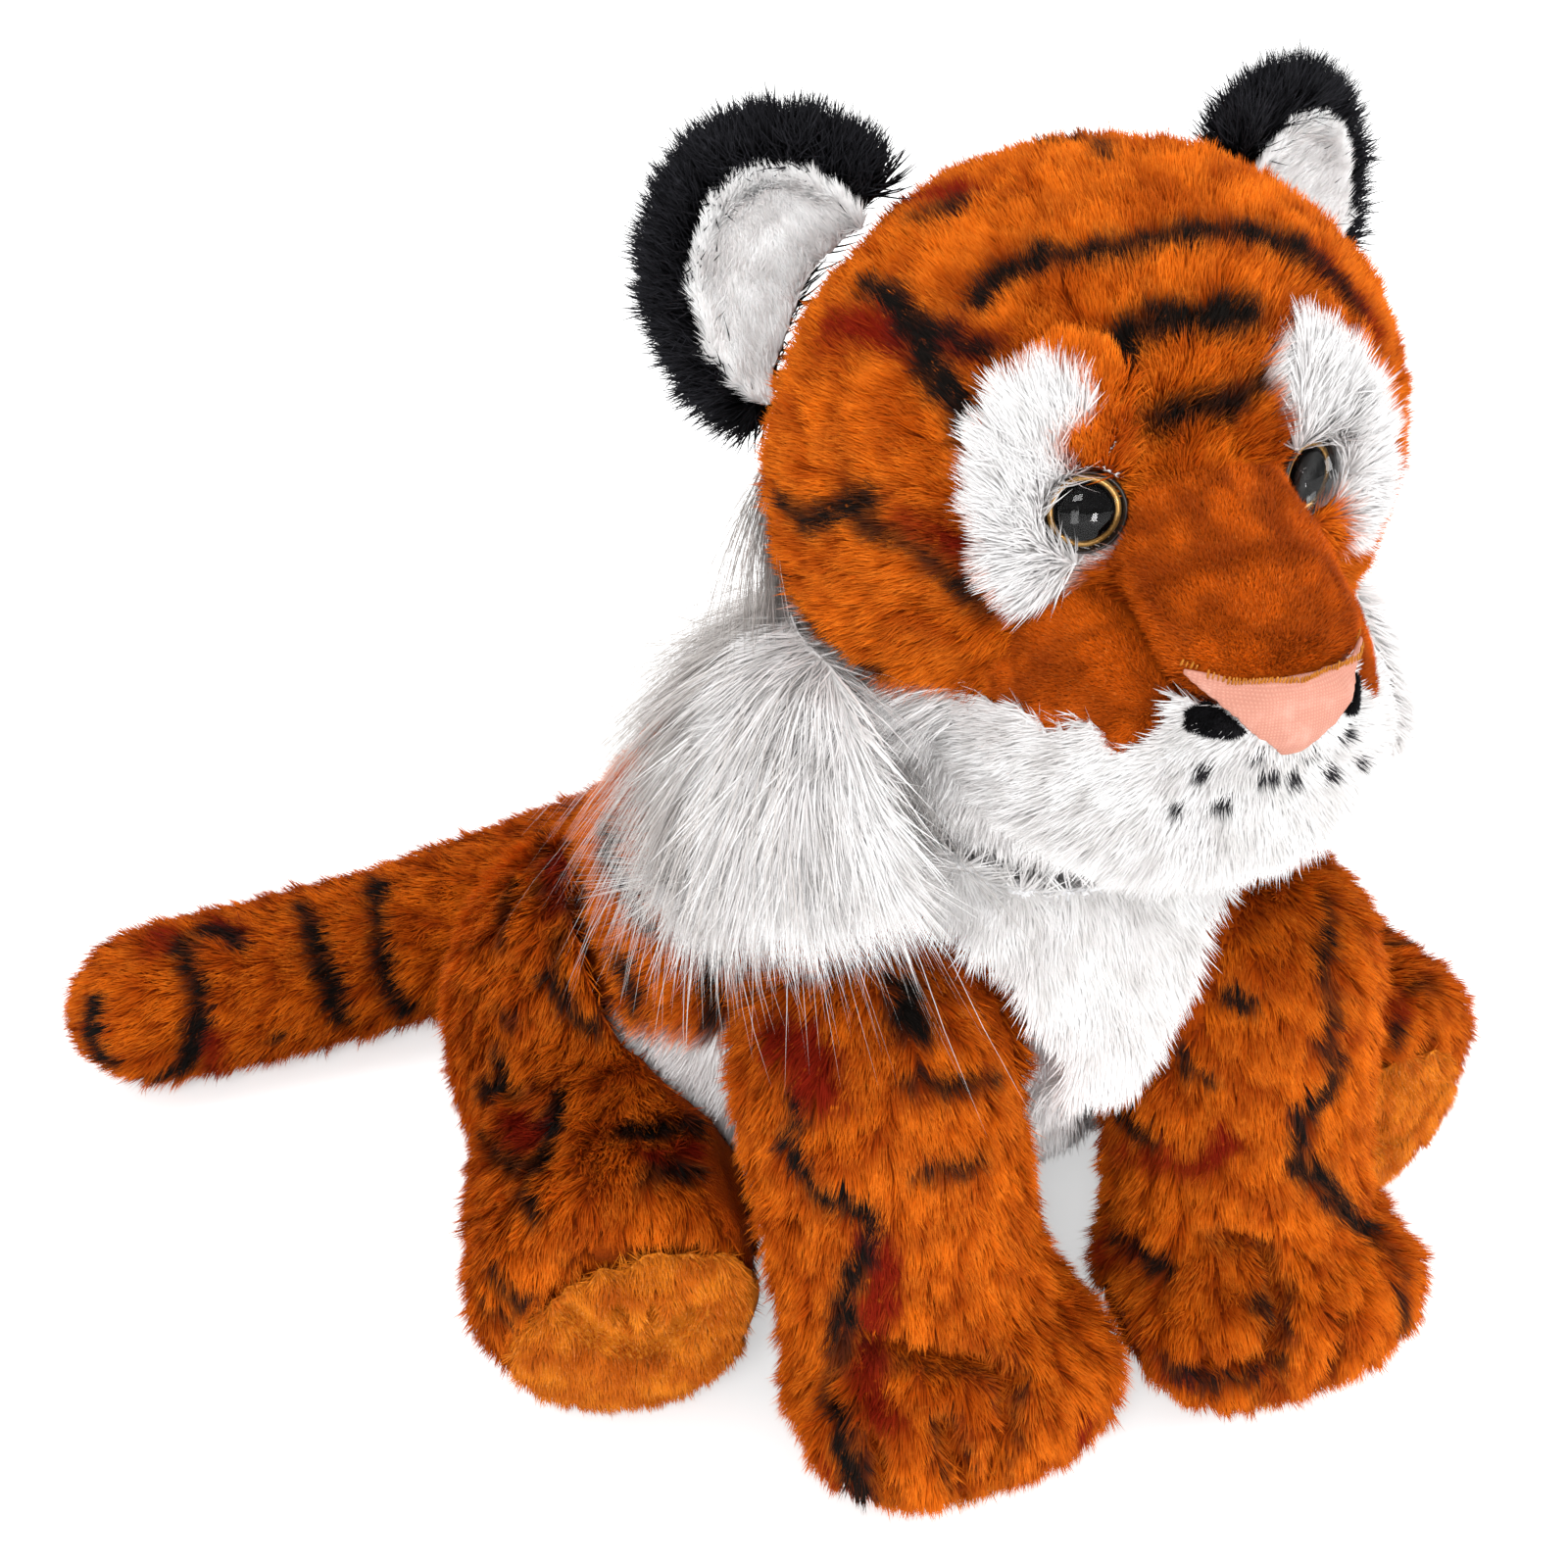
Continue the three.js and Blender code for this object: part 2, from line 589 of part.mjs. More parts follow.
function earLens(side, size, depth, shift, grow) {
  const lens = new THREE.SphereGeometry(1, earCounts.around, earCounts.along).rotateX(quarterTurn);
  lens.scale(half * size.width + grow, half * depth + grow, half * size.height + grow);
  return solid(lens.translate(0, shift, 0).applyMatrix4(earPlace(side)));
}

function earAxis(side) {
  const top = at(side * earRoot.topX, earRoot.topY, earRoot.topZ);
  const low = at(side * earRoot.lowX, earRoot.lowY, earRoot.lowZ);
  const way = low.clone().sub(top).normalize();
  return { pivot: top.add(low).multiplyScalar(half), way };
}

// Everything in front of the rim of the ear's cup
function earMouth(side) {
  const rim = new THREE.BoxGeometry(overrun, overrun, overrun).translate(0, -half * (overrun + ear.thickness), 0);
  return solid(rim.translate(0, clearance, 0).applyMatrix4(earPlace(side)));
}

function earPieces(side) {
  const { pivot, way } = earAxis(side);
  const roots = [-earRoot.fold, 0, earRoot.fold].map((angle) =>
    moved(headForm(runningGap), turnAbout(pivot, way, angle)),
  );
  const shift = -half * ear.thickness;
  const dent = earLens(side, earDent, 2 * earDent.depth, shift, 0);
  const back = cut(earLens(side, ear, ear.thickness, 0, 0), [dent, ...roots]);
  const lining = cut(earLens(side, earDent, 2 * earDent.depth, shift, -clearance), [
    earLens(side, earDent, 2 * earDent.depth, shift, -clearance - earDent.lining),
    earMouth(side),
    ...roots,
  ]);
  return { back: largest(back), lining: largest(lining) };
}

// Safety eyes, modelled about their own axis with the back of the dish at height 0

function lathe(profile) {
  const points = profile.map(([radius, height]) => new THREE.Vector2(radius, height));
  return solid(new THREE.LatheGeometry(points, roundSides));
}

function eyePlace(side) {
  const level = Math.cos(eye.tip);
  const way = at(side * Math.sin(eye.turn) * level, -Math.cos(eye.turn) * level, Math.sin(eye.tip));
  const turn = new THREE.Quaternion().setFromUnitVectors(at(0, 1, 0), way);
  const seat = at(
    side * eyeShares.x * head.width,
    head.y - eyeShares.y * head.depth,
    head.z + eyeShares.z * head.height,
  );
  return new THREE.Matrix4().compose(seat, turn, at(1, 1, 1));
}

function dishAndPost() {
  const ribRadius = post.radius + post.rib;
  const profile = [
    [0, -post.length],
    [post.radius, -post.length],
  ];
  for (let i = 0; i < post.ribs; i++) {
    const foot = i * post.pitch - post.length;
    profile.push([ribRadius, foot + half * post.pitch], [post.radius, foot + half * post.pitch + post.rib]);
  }
  const rim = dish.floor + dish.rim;
  profile.push([post.radius, 0], [eye.radius, 0], [eye.radius, rim], [eye.radius - dish.lip, rim]);
  profile.push([eye.radius - dish.lip, dish.floor], [0, dish.floor]);
  return lathe(profile);
}

const irisFoot = dish.floor + clearance;
const irisOuter = eye.radius - dish.lip - clearance;

function irisRing() {
  const inner = pupil.radius + clearance;
  const top = irisFoot + pupil.edge;
  return lathe([
    [inner, irisFoot],
    [irisOuter, irisFoot],
    [irisOuter, top],
    [inner, top],
    [inner, irisFoot],
  ]);
}

// A low cap: a short straight edge and then a rounded crown
function crowned(radius, foot, edge, rise) {
  const profile = [
    [0, foot],
    [radius, foot],
  ];
  for (let i = 0; i <= crownSteps; i++) {
    const angle = (quarterTurn * i) / crownSteps;
    profile.push([radius * Math.cos(angle), foot + edge + rise * Math.sin(angle)]);
  }
  profile[profile.length - 1][0] = 0;
  return lathe(profile);
}

const pupilDisc = () => crowned(pupil.radius, irisFoot, pupil.edge, pupil.rise);
const clearDome = () => crowned(irisOuter, irisFoot + pupil.edge + pupil.rise + clearance, dome.edge, dome.rise);

// A ring with slots that let its inner teeth bite on the post
function lockWasher() {
  const outline = new THREE.Shape();
  outline.absarc(0, 0, washer.radius, 0, 2 * Math.PI, false);
  const hole = [];
  const inner = post.radius + post.rib + clearance;
  for (let i = 0; i < washer.slots; i++) {
    const middle = (2 * Math.PI * i) / washer.slots;
    for (const [radius, way] of [[inner, -1], [washer.slotReach, -1], [washer.slotReach, 1], [inner, 1]]) {
      const angle = middle + (way * half * washer.slotWidth) / radius;
      hole.push(new THREE.Vector2(radius * Math.cos(angle), radius * Math.sin(angle)));
    }
  }
  outline.holes.push(new THREE.Path(hole));
  const ring = new THREE.ExtrudeGeometry(outline, { depth: washer.thickness, bevelEnabled: false });
  return solid(ring.rotateX(-quarterTurn).translate(0, -washer.depth - washer.thickness, 0));
}

function eyeBore(side, radius, foot, top, around) {
  const bore = new THREE.CylinderGeometry(radius, radius, top - foot, around).translate(0, half * (foot + top), 0);
  return solid(bore.applyMatrix4(eyePlace(side)));
}

const dishRoom = (side) => eyeBore(side, eye.radius + clearance, -clearance, eye.radius, roundSides);
const postHole = (side) => eyeBore(side, post.radius + post.rib + clearance, -2 * cloth, 0, roundSides);

// The stuffing only needs loose room round the back of the dish, the post and the washer.
function stuffingRooms(side) {
  const deep = post.length + runningGap;
  const behind = washer.depth + washer.thickness + runningGap;
  return [
    eyeBore(side, post.radius + 2 * post.rib + clearance, -deep, 0, hiddenSides),
    eyeBore(side, washer.radius + roomGap, -behind, eye.radius, hiddenSides),
  ];
}

// The assembled pieces

const looks = {
  tiger: { color: "#c8591a", roughness: 0.95 },
  velvet: { color: "#9a4a10", roughness: 0.85 },
  soleCloth: { color: "#b8731f", roughness: 0.9 },
  white: { color: "#eceeef", roughness: 0.95 },
  black: { color: "#1c1d20", roughness: 0.95 },
  pink: { color: "#e39a86", roughness: 0.8 },
  filling: { color: "#f5f5f2", roughness: 1 },
  bagCloth: { color: "#d9d4c8", roughness: 0.9 },
  rim: { color: "#3a2a1c", roughness: 0.35 },
  gold: { color: "#c08a3a", roughness: 0.3 },
  jet: { color: "#060606", roughness: 0.12 },
  clear: { color: "#20242a", roughness: 0.03 },
  nylon: { color: "#e8e8e6", roughness: 0.5 },
};

// Each moving body is a group whose own origin lies on its joint; its meshes are given in the tiger's frame.
function bodyGroup(parent, pivot) {
  const group = new THREE.Group();
  group.userData.pivot = pivot;
  group.position.copy(pivot);
  if (parent) {
    group.position.sub(parent.userData.pivot);
    parent.add(group);
  }
  return group;
}

function addMesh(group, name, body, look) {
  const pivot = group.userData.pivot;
  const geometry = geometryOf(body).translate(-pivot.x, -pivot.y, -pivot.z);
  const mesh = new THREE.Mesh(geometry, new THREE.MeshStandardMaterial({ ...looks[look], metalness: 0 }));
  mesh.name = name;
  group.add(mesh);
}

// The tiger's own frame has its origin under the middle of the flat seat.
const tiger = bodyGroup(null, at(0, 0, 0));
tiger.position.y = -seat.y;
const floorSpace = belowHeight(0);

// What the neck, the front legs and the tail need to turn in the trunk, each with its own gap
function trunkRooms(legGap, legCounts, tailGap, neckGap, neckCounts) {
  const legRooms = Object.values(sides).map((side) => {
    const leg = frontLegTube(side, legGap, legCounts);
    return travelRoom(leg, shoulder(side), across, -frontLeg.forward, 0, frontLeg.rootReach, legSweepSteps);
  });
  const root = tailForm(tailGap, tailCounts);
  const tailRoom = travelRoom(root, tailRoot, up, -tail.swing, tail.tuck, tail.rootReach, tailSweepSteps);
  return [neckBall(neckGap, neckCounts), ...legRooms, tailRoom];
}

function addTrunk() {
  const rooms = trunkRooms(roomGap, roomCounts, tail.gap, neck.gap, ballCounts);
  const outer = cut(trunkForm(0), [floorSpace, ...rooms]);
  const hollow = trunkForm(-cloth, innerCounts).subtract(belowHeight(cloth));
  const shell = outer.subtract(hollow);
  addMesh(tiger, "chest_panel", largest(shell.intersect(bibPrism(0))), "white");
  const belowBib = shell.subtract(bibPrism(clearance));
  addMesh(tiger, "belly_panel", largest(belowBib.intersect(bellyPrism(0))), "white");
  addMesh(tiger, "trunk_cover", largest(belowBib.subtract(bellyPrism(clearance))), "tiger");
  const inset = cloth + fillingGap;
  const loose = roomGap + inset;
  const innerRooms = trunkRooms(loose, hiddenCounts, inset, inset, innerBallCounts);
  const filling = trunkForm(-inset, innerCounts).subtract(belowHeight(inset));
  addMesh(tiger, "trunk_filling", largest(cut(filling, [...innerRooms, bagForm(clearance)])), "filling");
  addMesh(tiger, "pellet_bag", bagForm(0), "bagCloth");
}

function addFrontLeg(side) {
  const name = nameOf(side);
  const group = bodyGroup(tiger, shoulder(side));
  const form = frontLegForm(side, 0).subtract(floorSpace);
  const soleSpace = belowHeight(frontPaw.sole);
  const cover = cut(form, [frontLegForm(side, -cloth, innerCounts), belowHeight(frontPaw.sole + clearance)]);
  const inset = cloth + fillingGap;
  const filling = frontLegForm(side, -inset, innerCounts).subtract(belowHeight(frontPaw.sole + clearance));
  addMesh(group, "front_leg_cover_" + name, largest(cover), "tiger");
  addMesh(group, "front_leg_filling_" + name, filling, "filling");
  addMesh(group, "front_sole_" + name, form.intersect(soleSpace), "soleCloth");
}

function addHindLeg(side) {
  const name = nameOf(side);
  const group = bodyGroup(tiger, at(side * thigh.hingeX, thigh.hingeY, thigh.z));
  const frontLegRoom = frontLegForm(side, runningGap);
  const rooms = [floorSpace, trunkForm(runningGap), frontLegRoom];
  const form = cut(hindLegForm(side, 0), rooms);
  const cover = cut(form, [hindLegForm(side, -cloth, innerCounts), hindSoleSpace(side, clearance)]);
  const inset = cloth + fillingGap;
  const fillingRooms = [trunkForm(runningGap + inset), frontLegForm(side, runningGap + inset), belowHeight(inset)];
  const filling = cut(hindLegForm(side, -inset, innerCounts), [...fillingRooms, hindSoleSpace(side, clearance)]);
  addMesh(group, "hind_leg_cover_" + name, largest(cover), "tiger");
  addMesh(group, "hind_leg_filling_" + name, largest(filling), "filling");
  addMesh(group, "hind_sole_" + name, largest(form.intersect(hindSoleSpace(side, 0))), "soleCloth");
}

function addTail() {
  const group = bodyGroup(tiger, tailRoot);
  const hole = new THREE.CylinderGeometry(tail.hole, tail.hole, tail.radius, roundSides);
  hole.translate(0, -tail.radius, 0).translate(tailRoot.x, tailRoot.y, tailRoot.z);
  const opening = solid(hole);
  addMesh(group, "tail_cover", cut(tailForm(0), [tailForm(-cloth, innerCounts), opening, floorSpace]), "tiger");
  addMesh(group, "tail_filling", tailForm(-cloth - fillingGap, innerCounts), "filling");
}

function addHead(neckGroup) {
  const group = bodyGroup(neckGroup, neckMiddle);
  const eyeRooms = Object.values(sides).flatMap((side) => [dishRoom(side), postHole(side)]);
  const outer = cut(wholeHead(0), [neckBall(neck.gap), ...eyeRooms]);
  let rest = outer.subtract(innerHead(-cloth));
  const take = (name, look, zone, widerZone) => {
    addMesh(group, name, largest(rest.intersect(zone)), look);
    rest = rest.subtract(widerZone);
  };
  const seam = seamLap + clearance;
  take("nose_bridge", "velvet", bridgeForm(seamLap, faceCounts), bridgeForm(seam, faceCounts));
  for (const side of Object.values(sides)) {
    take("cheek_" + nameOf(side), "velvet", cheekForm(side, seamLap, faceCounts), cheekForm(side, seam, faceCounts));
  }
  const muzzleZone = (grow) => muzzleForm(grow, faceCounts).add(noseForm(grow, faceCounts));
  take("muzzle", "white", muzzleZone(seamLap), muzzleZone(seam));
  take("chin", "white", chinForm(seamLap, faceCounts), chinForm(seam, faceCounts));
  for (const side of Object.values(sides)) {
    take("eye_patch_" + nameOf(side), "white", eyePatchPrism(side, 0), eyePatchPrism(side, clearance));
  }
  take("throat", "white", throatPrism(0), throatPrism(clearance));
  addMesh(group, "head_cover", largest(rest), "tiger");

  const inset = cloth + fillingGap;
  const inner = innerHead(-inset);
  const socket = neckBall(inset, innerBallCounts);
  const fillingRooms = Object.values(sides).flatMap(stuffingRooms);
  addMesh(group, "head_filling", largest(cut(inner, [socket, ...fillingRooms])), "filling");

  const face = wholeHead(clearance);
  const pad = noseForm(nosePad.thickness, faceCounts).add(bridgeForm(nosePad.thickness, faceCounts));
  addMesh(group, "nose", largest(pad.intersect(nosePrism(0)).subtract(face)), "pink");
  for (const side of Object.values(sides)) {
    const patch = noseForm(felt.thickness, faceCounts).add(muzzleForm(felt.thickness, faceCounts));
    const lens = patch.intersect(feltPrism(side));
    addMesh(group, "nose_felt_" + nameOf(side), largest(cut(lens, [face, nosePrism(clearance)])), "black");
    addEye(group, side);
    addEar(group, side);
  }
  addMesh(group, "ruff", largest(ruffForm().subtract(wholeHead(clearance))), "white");
}

function addEye(group, side) {
  const place = eyePlace(side);
  const name = nameOf(side);
  addMesh(group, "eye_dish_" + name, moved(dishAndPost(), place), "rim");
  addMesh(group, "eye_iris_" + name, moved(irisRing(), place), "gold");
  addMesh(group, "eye_pupil_" + name, moved(pupilDisc(), place), "jet");
  addMesh(group, "eye_dome_" + name, moved(clearDome(), place), "clear");
  addMesh(group, "eye_washer_" + name, moved(lockWasher(), place), "nylon");
}

function addEar(headGroup, side) {
  const group = bodyGroup(headGroup, earAxis(side).pivot);
  const pieces = earPieces(side);
  addMesh(group, "ear_back_" + nameOf(side), pieces.back, "black");
  addMesh(group, "ear_lining_" + nameOf(side), pieces.lining, "white");
}

addTrunk();
for (const side of Object.values(sides)) {
  addFrontLeg(side);
  addHindLeg(side);
}
addTail();
const neckGroup = bodyGroup(tiger, neckMiddle);
addMesh(neckGroup, "neck_sleeve", neckSleeve(), "white");
addMesh(neckGroup, "neck_filling", neckBall(-cloth - clearance, innerBallCounts), "filling");
addHead(neckGroup);

export default tiger;
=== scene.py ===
import math

import bmesh
import bpy
import numpy as np
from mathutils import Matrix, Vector, noise
from mathutils.bvhtree import BVHTree


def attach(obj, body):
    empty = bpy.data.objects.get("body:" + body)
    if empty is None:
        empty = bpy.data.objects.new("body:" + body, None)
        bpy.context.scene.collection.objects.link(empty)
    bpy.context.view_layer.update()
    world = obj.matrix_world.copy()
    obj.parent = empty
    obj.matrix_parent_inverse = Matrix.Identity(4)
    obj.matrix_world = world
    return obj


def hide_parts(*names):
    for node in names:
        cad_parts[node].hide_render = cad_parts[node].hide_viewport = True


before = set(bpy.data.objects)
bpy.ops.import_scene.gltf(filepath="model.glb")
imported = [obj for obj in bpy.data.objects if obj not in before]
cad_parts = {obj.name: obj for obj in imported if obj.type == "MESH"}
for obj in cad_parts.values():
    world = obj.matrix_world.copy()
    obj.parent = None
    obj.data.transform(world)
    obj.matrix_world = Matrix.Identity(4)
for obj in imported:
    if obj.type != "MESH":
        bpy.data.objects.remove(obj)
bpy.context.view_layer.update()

MM = 0.001
scene = bpy.context.scene
SIDES = (("right", -1), ("left", 1))


def linked(name, data):
    """A new object of this data, in the scene."""
    thing = bpy.data.objects.new(name, data)
    scene.collection.objects.link(thing)
    return thing


def emptied(bm, mesh):
    """The mesh with what was built in a bmesh, which is then freed."""
    bm.to_mesh(mesh)
    bm.free()
    return mesh


def ramp(values, start, length):
    """0 up to the start, 1 from its length on, and straight between them."""
    return np.clip((values - start) / length, 0, 1)


def between(values, low, high):
    return (values > low) & (values < high)


# Camera and studio

# The camera that fits the photo: its turn, rise, distance and aim, its lens and sensor, and the photo's side
CAMERA_TURN, CAMERA_RISE, CAMERA_FAR = math.radians(-21.5), math.radians(29.4), 0.481
LOOKS_AT = Vector((-0.047, -0.063, 0.140))
LENS, SENSOR, PHOTO_SIDE = 50, 36, 1600
TOWARD_CAMERA = Vector((math.sin(CAMERA_TURN) * math.cos(CAMERA_RISE),
                        -math.cos(CAMERA_TURN) * math.cos(CAMERA_RISE), math.sin(CAMERA_RISE)))
CAMERA_PLACE = LOOKS_AT + TOWARD_CAMERA * CAMERA_FAR
CAMERA_AIM = TOWARD_CAMERA.to_track_quat("Z", "Y")

# Each softbox: its name, place, width and height in metres and its watts
LAMPS = (
    ("key softbox", (-0.75, -1.15, 1.05), 0.5, 0.5, 12),
    ("side softbox", (1.15, -0.62, 0.42), 0.35, 0.5, 7),
    ("top softbox", (0.1, 0.2, 1.6), 1.4, 1.4, 8),
    ("back softbox", (0.35, 1.3, 0.8), 0.9, 0.9, 5),
    ("front window", (-0.02, -1.0, 0.08), 0.12, 0.26, 3),
)
LIT_POINT = Vector((0, -0.05, 0.13))


def place_camera():
    data = bpy.data.cameras.new("camera")
    data.lens, data.sensor_width, data.clip_start = LENS, SENSOR, 0.01
    camera = linked("camera", data)
    camera.location, camera.rotation_euler = CAMERA_PLACE, CAMERA_AIM.to_euler()
    scene.camera = camera


def softbox(name, place, width, height, watts):
    data = bpy.data.lights.new(name, "AREA")
    data.shape, data.size, data.size_y, data.energy = "RECTANGLE", width, height, watts
    lamp = linked(name, data)
    lamp.location = place
    lamp.rotation_euler = (Vector(place) - LIT_POINT).to_track_quat("Z", "Y").to_euler()


# Finishes

class Tone:
    """An output of a node that takes arithmetic: + and * each add a Math node."""

    def __init__(self, net, socket):
        self.net, self.socket = net, socket

    def __add__(self, other):
        return self.net.math("ADD", self, other)

    def __mul__(self, other):
        return self.net.math("MULTIPLY", self, other)

    def beside(self, name):
        """Another output of the same node."""
        return Tone(self.net, self.socket.node.outputs[name])

    def over(self, low, high):
        """0 below low and 1 above high, with a soft step between them."""
        return self.net.node("ShaderNodeMapRange", {"interpolation_type": "SMOOTHSTEP"},
                             {"Value": self, "From Min": low, "From Max": high})


class Net:
    """A tree of nodes being put together, whose inputs take values and other nodes' outputs."""

    def __init__(self, tree):
        self.nodes, self.links = tree.nodes, tree.links

    def node(self, kind, settings=None, values=None, out=0):
        made = self.nodes.new(kind)
        for key, value in (settings or {}).items():
            setattr(made, key, value)
        for key, value in (values or {}).items():
            if isinstance(value, Tone):
                self.links.new(value.socket, made.inputs[key])
            else:
                made.inputs[key].default_value = value
        return Tone(self, made.outputs[out])

    def math(self, operation, *values, clamp=False):
        settings = {"operation": operation, "use_clamp": clamp}
        return self.node("ShaderNodeMath", settings, dict(enumerate(values)))


class Finish(Net):
    """A material being put together round one Principled shader."""

    def __init__(self, name, **sockets):
        self.material = bpy.data.materials.new(name)
        self.material.use_nodes = True
        super().__init__(self.material.node_tree)
        self.shader = self.nodes["Principled BSDF"]
        for socket, value in sockets.items():
            self.shader.inputs[socket.replace("_", " ")].default_value = value

    def attribute(self, name):
        return self.node("ShaderNodeAttribute", {"attribute_name": name}, out="Fac")

    def place(self, stretch=(1, 1, 1)):
        there = self.node("ShaderNodeTexCoord", out="Object")
        if stretch == (1, 1, 1):
            return there
        return self.node("ShaderNodeMapping", values={"Vector": there, "Scale": stretch})

    def noise(self, per_metre, detail=2.0, stretch=(1, 1, 1), rough=0.55):
        return self.node("ShaderNodeTexNoise", values={
            "Vector": self.place(stretch), "Scale": per_metre, "Detail": detail, "Roughness": rough})

    def mix(self, factor, a, b, blend="MIX"):
        return self.node("ShaderNodeMix", {"data_type": "RGBA", "blend_type": blend},
                         {"Factor": factor, 6: a, 7: b}, out=2)

    def feed(self, socket, tone):
        self.links.new(tone.socket, self.shader.inputs[socket])

    def bump(self, height, strength, depth):
        self.feed("Normal", self.node("ShaderNodeBump", values={
            "Strength": strength, "Distance": depth, "Height": height}))


def colour(code, lift=1.0):
    """A sRGB hex code as the linear colour that a shader takes."""
    parts = [int(code[i:i + 2], 16) / 255 for i in (1, 3, 5)]
    linear = [c / 12.92 if c <= 0.04045 else ((c + 0.055) / 1.055) ** 2.4 for c in parts]
    return tuple(min(1.0, c * lift) for c in linear) + (1.0,)


def plush_finish(name, base, deep, light, root="#6a2408", rough=0.75, strands=True):
    """Long pile: tufts of three tones, printed stripes, white panels, and shade at its roots and partings."""
    f = Finish(name, Roughness=rough, Specular_IOR_Level=0.03)
    coat = f.mix(f.noise(110, 3.0).over(0.3, 0.7), colour(deep), colour(base))
    coat = f.mix(f.noise(700, 2.0).over(0.5, 0.8) * 0.6, coat, colour(light))
    if strands:
        # Painted shade: darker towards the strands' roots and in the partings between tufts, paler at their
        # tips
        coat = f.mix(f.attribute("rise").over(0.45, 1.1) * 0.5, coat, colour(light))
        coat = f.mix(f.attribute("shade").over(0.45, 1.1) * 0.5, coat, colour(root, 1.8), "MULTIPLY")
        coat = f.mix(f.attribute("rise").over(-0.1, 0.7), colour(root), coat)
    else:
        # Painted shade: the hide between the strands is darkened towards the root colour
        coat = f.mix(0.6, coat, colour(root))
        f.bump(f.noise(1800, 2.0, (1, 1, 0.3)), 0.6, 0.0015)
    mottle = f.noise(520, 2.0)
    coat = f.mix(f.attribute("red") * mottle.over(0.15, 0.42), coat, colour("#7c1a0a"))
    coat = f.mix(f.attribute("dark") * mottle.over(0.12, 0.38), coat, colour("#191614"))
    pale = colour("#f4f4f6")
    if strands:
        # Painted shade: the white strands are greyer towards their roots
        pale = f.mix(f.attribute("rise").over(-0.3, 0.9), colour("#bbb7b5"), colour("#e9e8e8"))
    f.feed("Base Color", f.mix(f.attribute("white"), coat, pale))
    return f.material


def white_finish(name, base, shade, rough=0.7, strands=True, dots=False, root="#cfcccb"):
    """White pile with painted shade, a little greyer in its partings and towards its roots, with printed dots
    where they are asked for.
    """
    f = Finish(name, Roughness=rough, Specular_IOR_Level=0.2)
    coat = f.mix(f.noise(160, 3.0).over(0.3, 0.6), colour(shade), colour(base))
    if strands:
        # Painted shade in the partings between tufts and towards the roots
        coat = f.mix(f.attribute("shade").over(0.4, 1.0) * 0.5, coat, colour("#e0dddc"), "MULTIPLY")
        coat = f.mix(f.attribute("rise").over(-0.4, 0.5), colour(root), coat)
    else:
        f.bump(f.noise(1500, 2.0, (1, 1, 0.25)), 0.5, 0.0012)
    if dots:
        coat = f.mix(f.attribute("dark").over(0.3, 0.6), coat, colour("#232125"))
    f.feed("Base Color", coat)
    return f.material


def velvet_finish(name, base, deep, light, root="#4a1a04", strands=True):
    """Short nap with painted shade: darker towards its roots and in its partings, and paler at its tips."""
    f = Finish(name, Roughness=0.65, Specular_IOR_Level=0.05, Sheen_Weight=0.06, Sheen_Roughness=0.3,
               Sheen_Tint=colour(light))
    coat = f.mix(f.noise(90, 3.0).over(0.3, 0.7), colour(deep), colour(base))
    coat = f.mix(f.noise(1400, 2.0).over(0.5, 0.8) * 0.6, coat, colour(light))
    if strands:
        # Painted shade in the partings between tufts and towards the roots
        coat = f.mix(f.attribute("shade").over(0.4, 1.0) * 0.5, coat, colour(root, 2.0), "MULTIPLY")
        coat = f.mix(f.attribute("rise").over(-0.4, 0.6), colour(root), coat)
    else:
        f.bump(f.noise(2200, 2.0), 0.5, 0.001)
    f.feed("Base Color", coat)
    return f.material


def woven_finish(name, base, deep, light):
    """Plain weave cloth: the waves of its warp and of its weft, as colour and relief."""
    f = Finish(name, Roughness=0.85, Specular_IOR_Level=0.15)
    wave = {"Vector": f.place(), "Scale": 520.0, "Distortion": 0.6, "Detail": 1.0}
    warp, weft = (f.node("ShaderNodeTexWave", {"wave_type": "BANDS", "bands_direction": way}, wave, out="Fac")
                  for way in ("X", "Z"))
    yarn = warp * weft
    coat = f.mix(yarn.over(0.1, 0.7), colour(deep), colour(base))
    coat = f.mix(f.noise(220, 3.0).over(0.45, 0.8) * 0.7, coat, colour(light))
    f.feed("Base Color", coat)
    f.bump(yarn, 0.5, 0.0003)
    return f.material


def moulded_finish(name, base, light, rough=0.25, grain=300, gloss=0.5, **sockets):
    """Moulded plastic with faint flow marks and a fine uneven gloss."""
    f = Finish(name, Specular_IOR_Level=gloss, **sockets)
    flow = f.noise(grain, 3.0)
    f.feed("Base Color", f.mix(flow.over(0.35, 0.75), colour(base), colour(light)))
    f.feed("Roughness", flow * 0.12 + rough)
    return f.material


def dome_finish(name):
    """Clear cast dome: dark and glossy over the pupil, and clear over the golden ring."""
    f = Finish(name, Specular_IOR_Level=0.5, IOR=1.42)
    haze = f.noise(200, 3.0)
    f.feed("Base Color", f.mix(haze.over(0.35, 0.75), colour("#020202"), colour("#050505")))
    f.feed("Roughness", haze * 0.02 + 0.01)
    f.feed("Alpha", f.attribute("out_from_axis").over(0.68, 0.55) * 0.42 + 0.12)
    return f.material


# Sewn skins

SAME_POINT = 2e-6
CLOTH_FRAMES = 20
SMALL = 1e-6


def rows(mesh):
    points, normals = np.empty(len(mesh.vertices) * 3), np.empty(len(mesh.vertices) * 3)
    mesh.vertices.foreach_get("co", points)
    mesh.vertices.foreach_get("normal", normals)
    return points.reshape(-1, 3), normals.reshape(-1, 3)


def put_points(mesh, points):
    mesh.vertices.foreach_set("co", np.ascontiguousarray(points, dtype=np.float64).ravel())
    mesh.update()


def edges_of(mesh):
    edges = np.empty(len(mesh.edges) * 2, int)
    mesh.edges.foreach_get("vertices", edges)
    return edges.reshape(-1, 2)


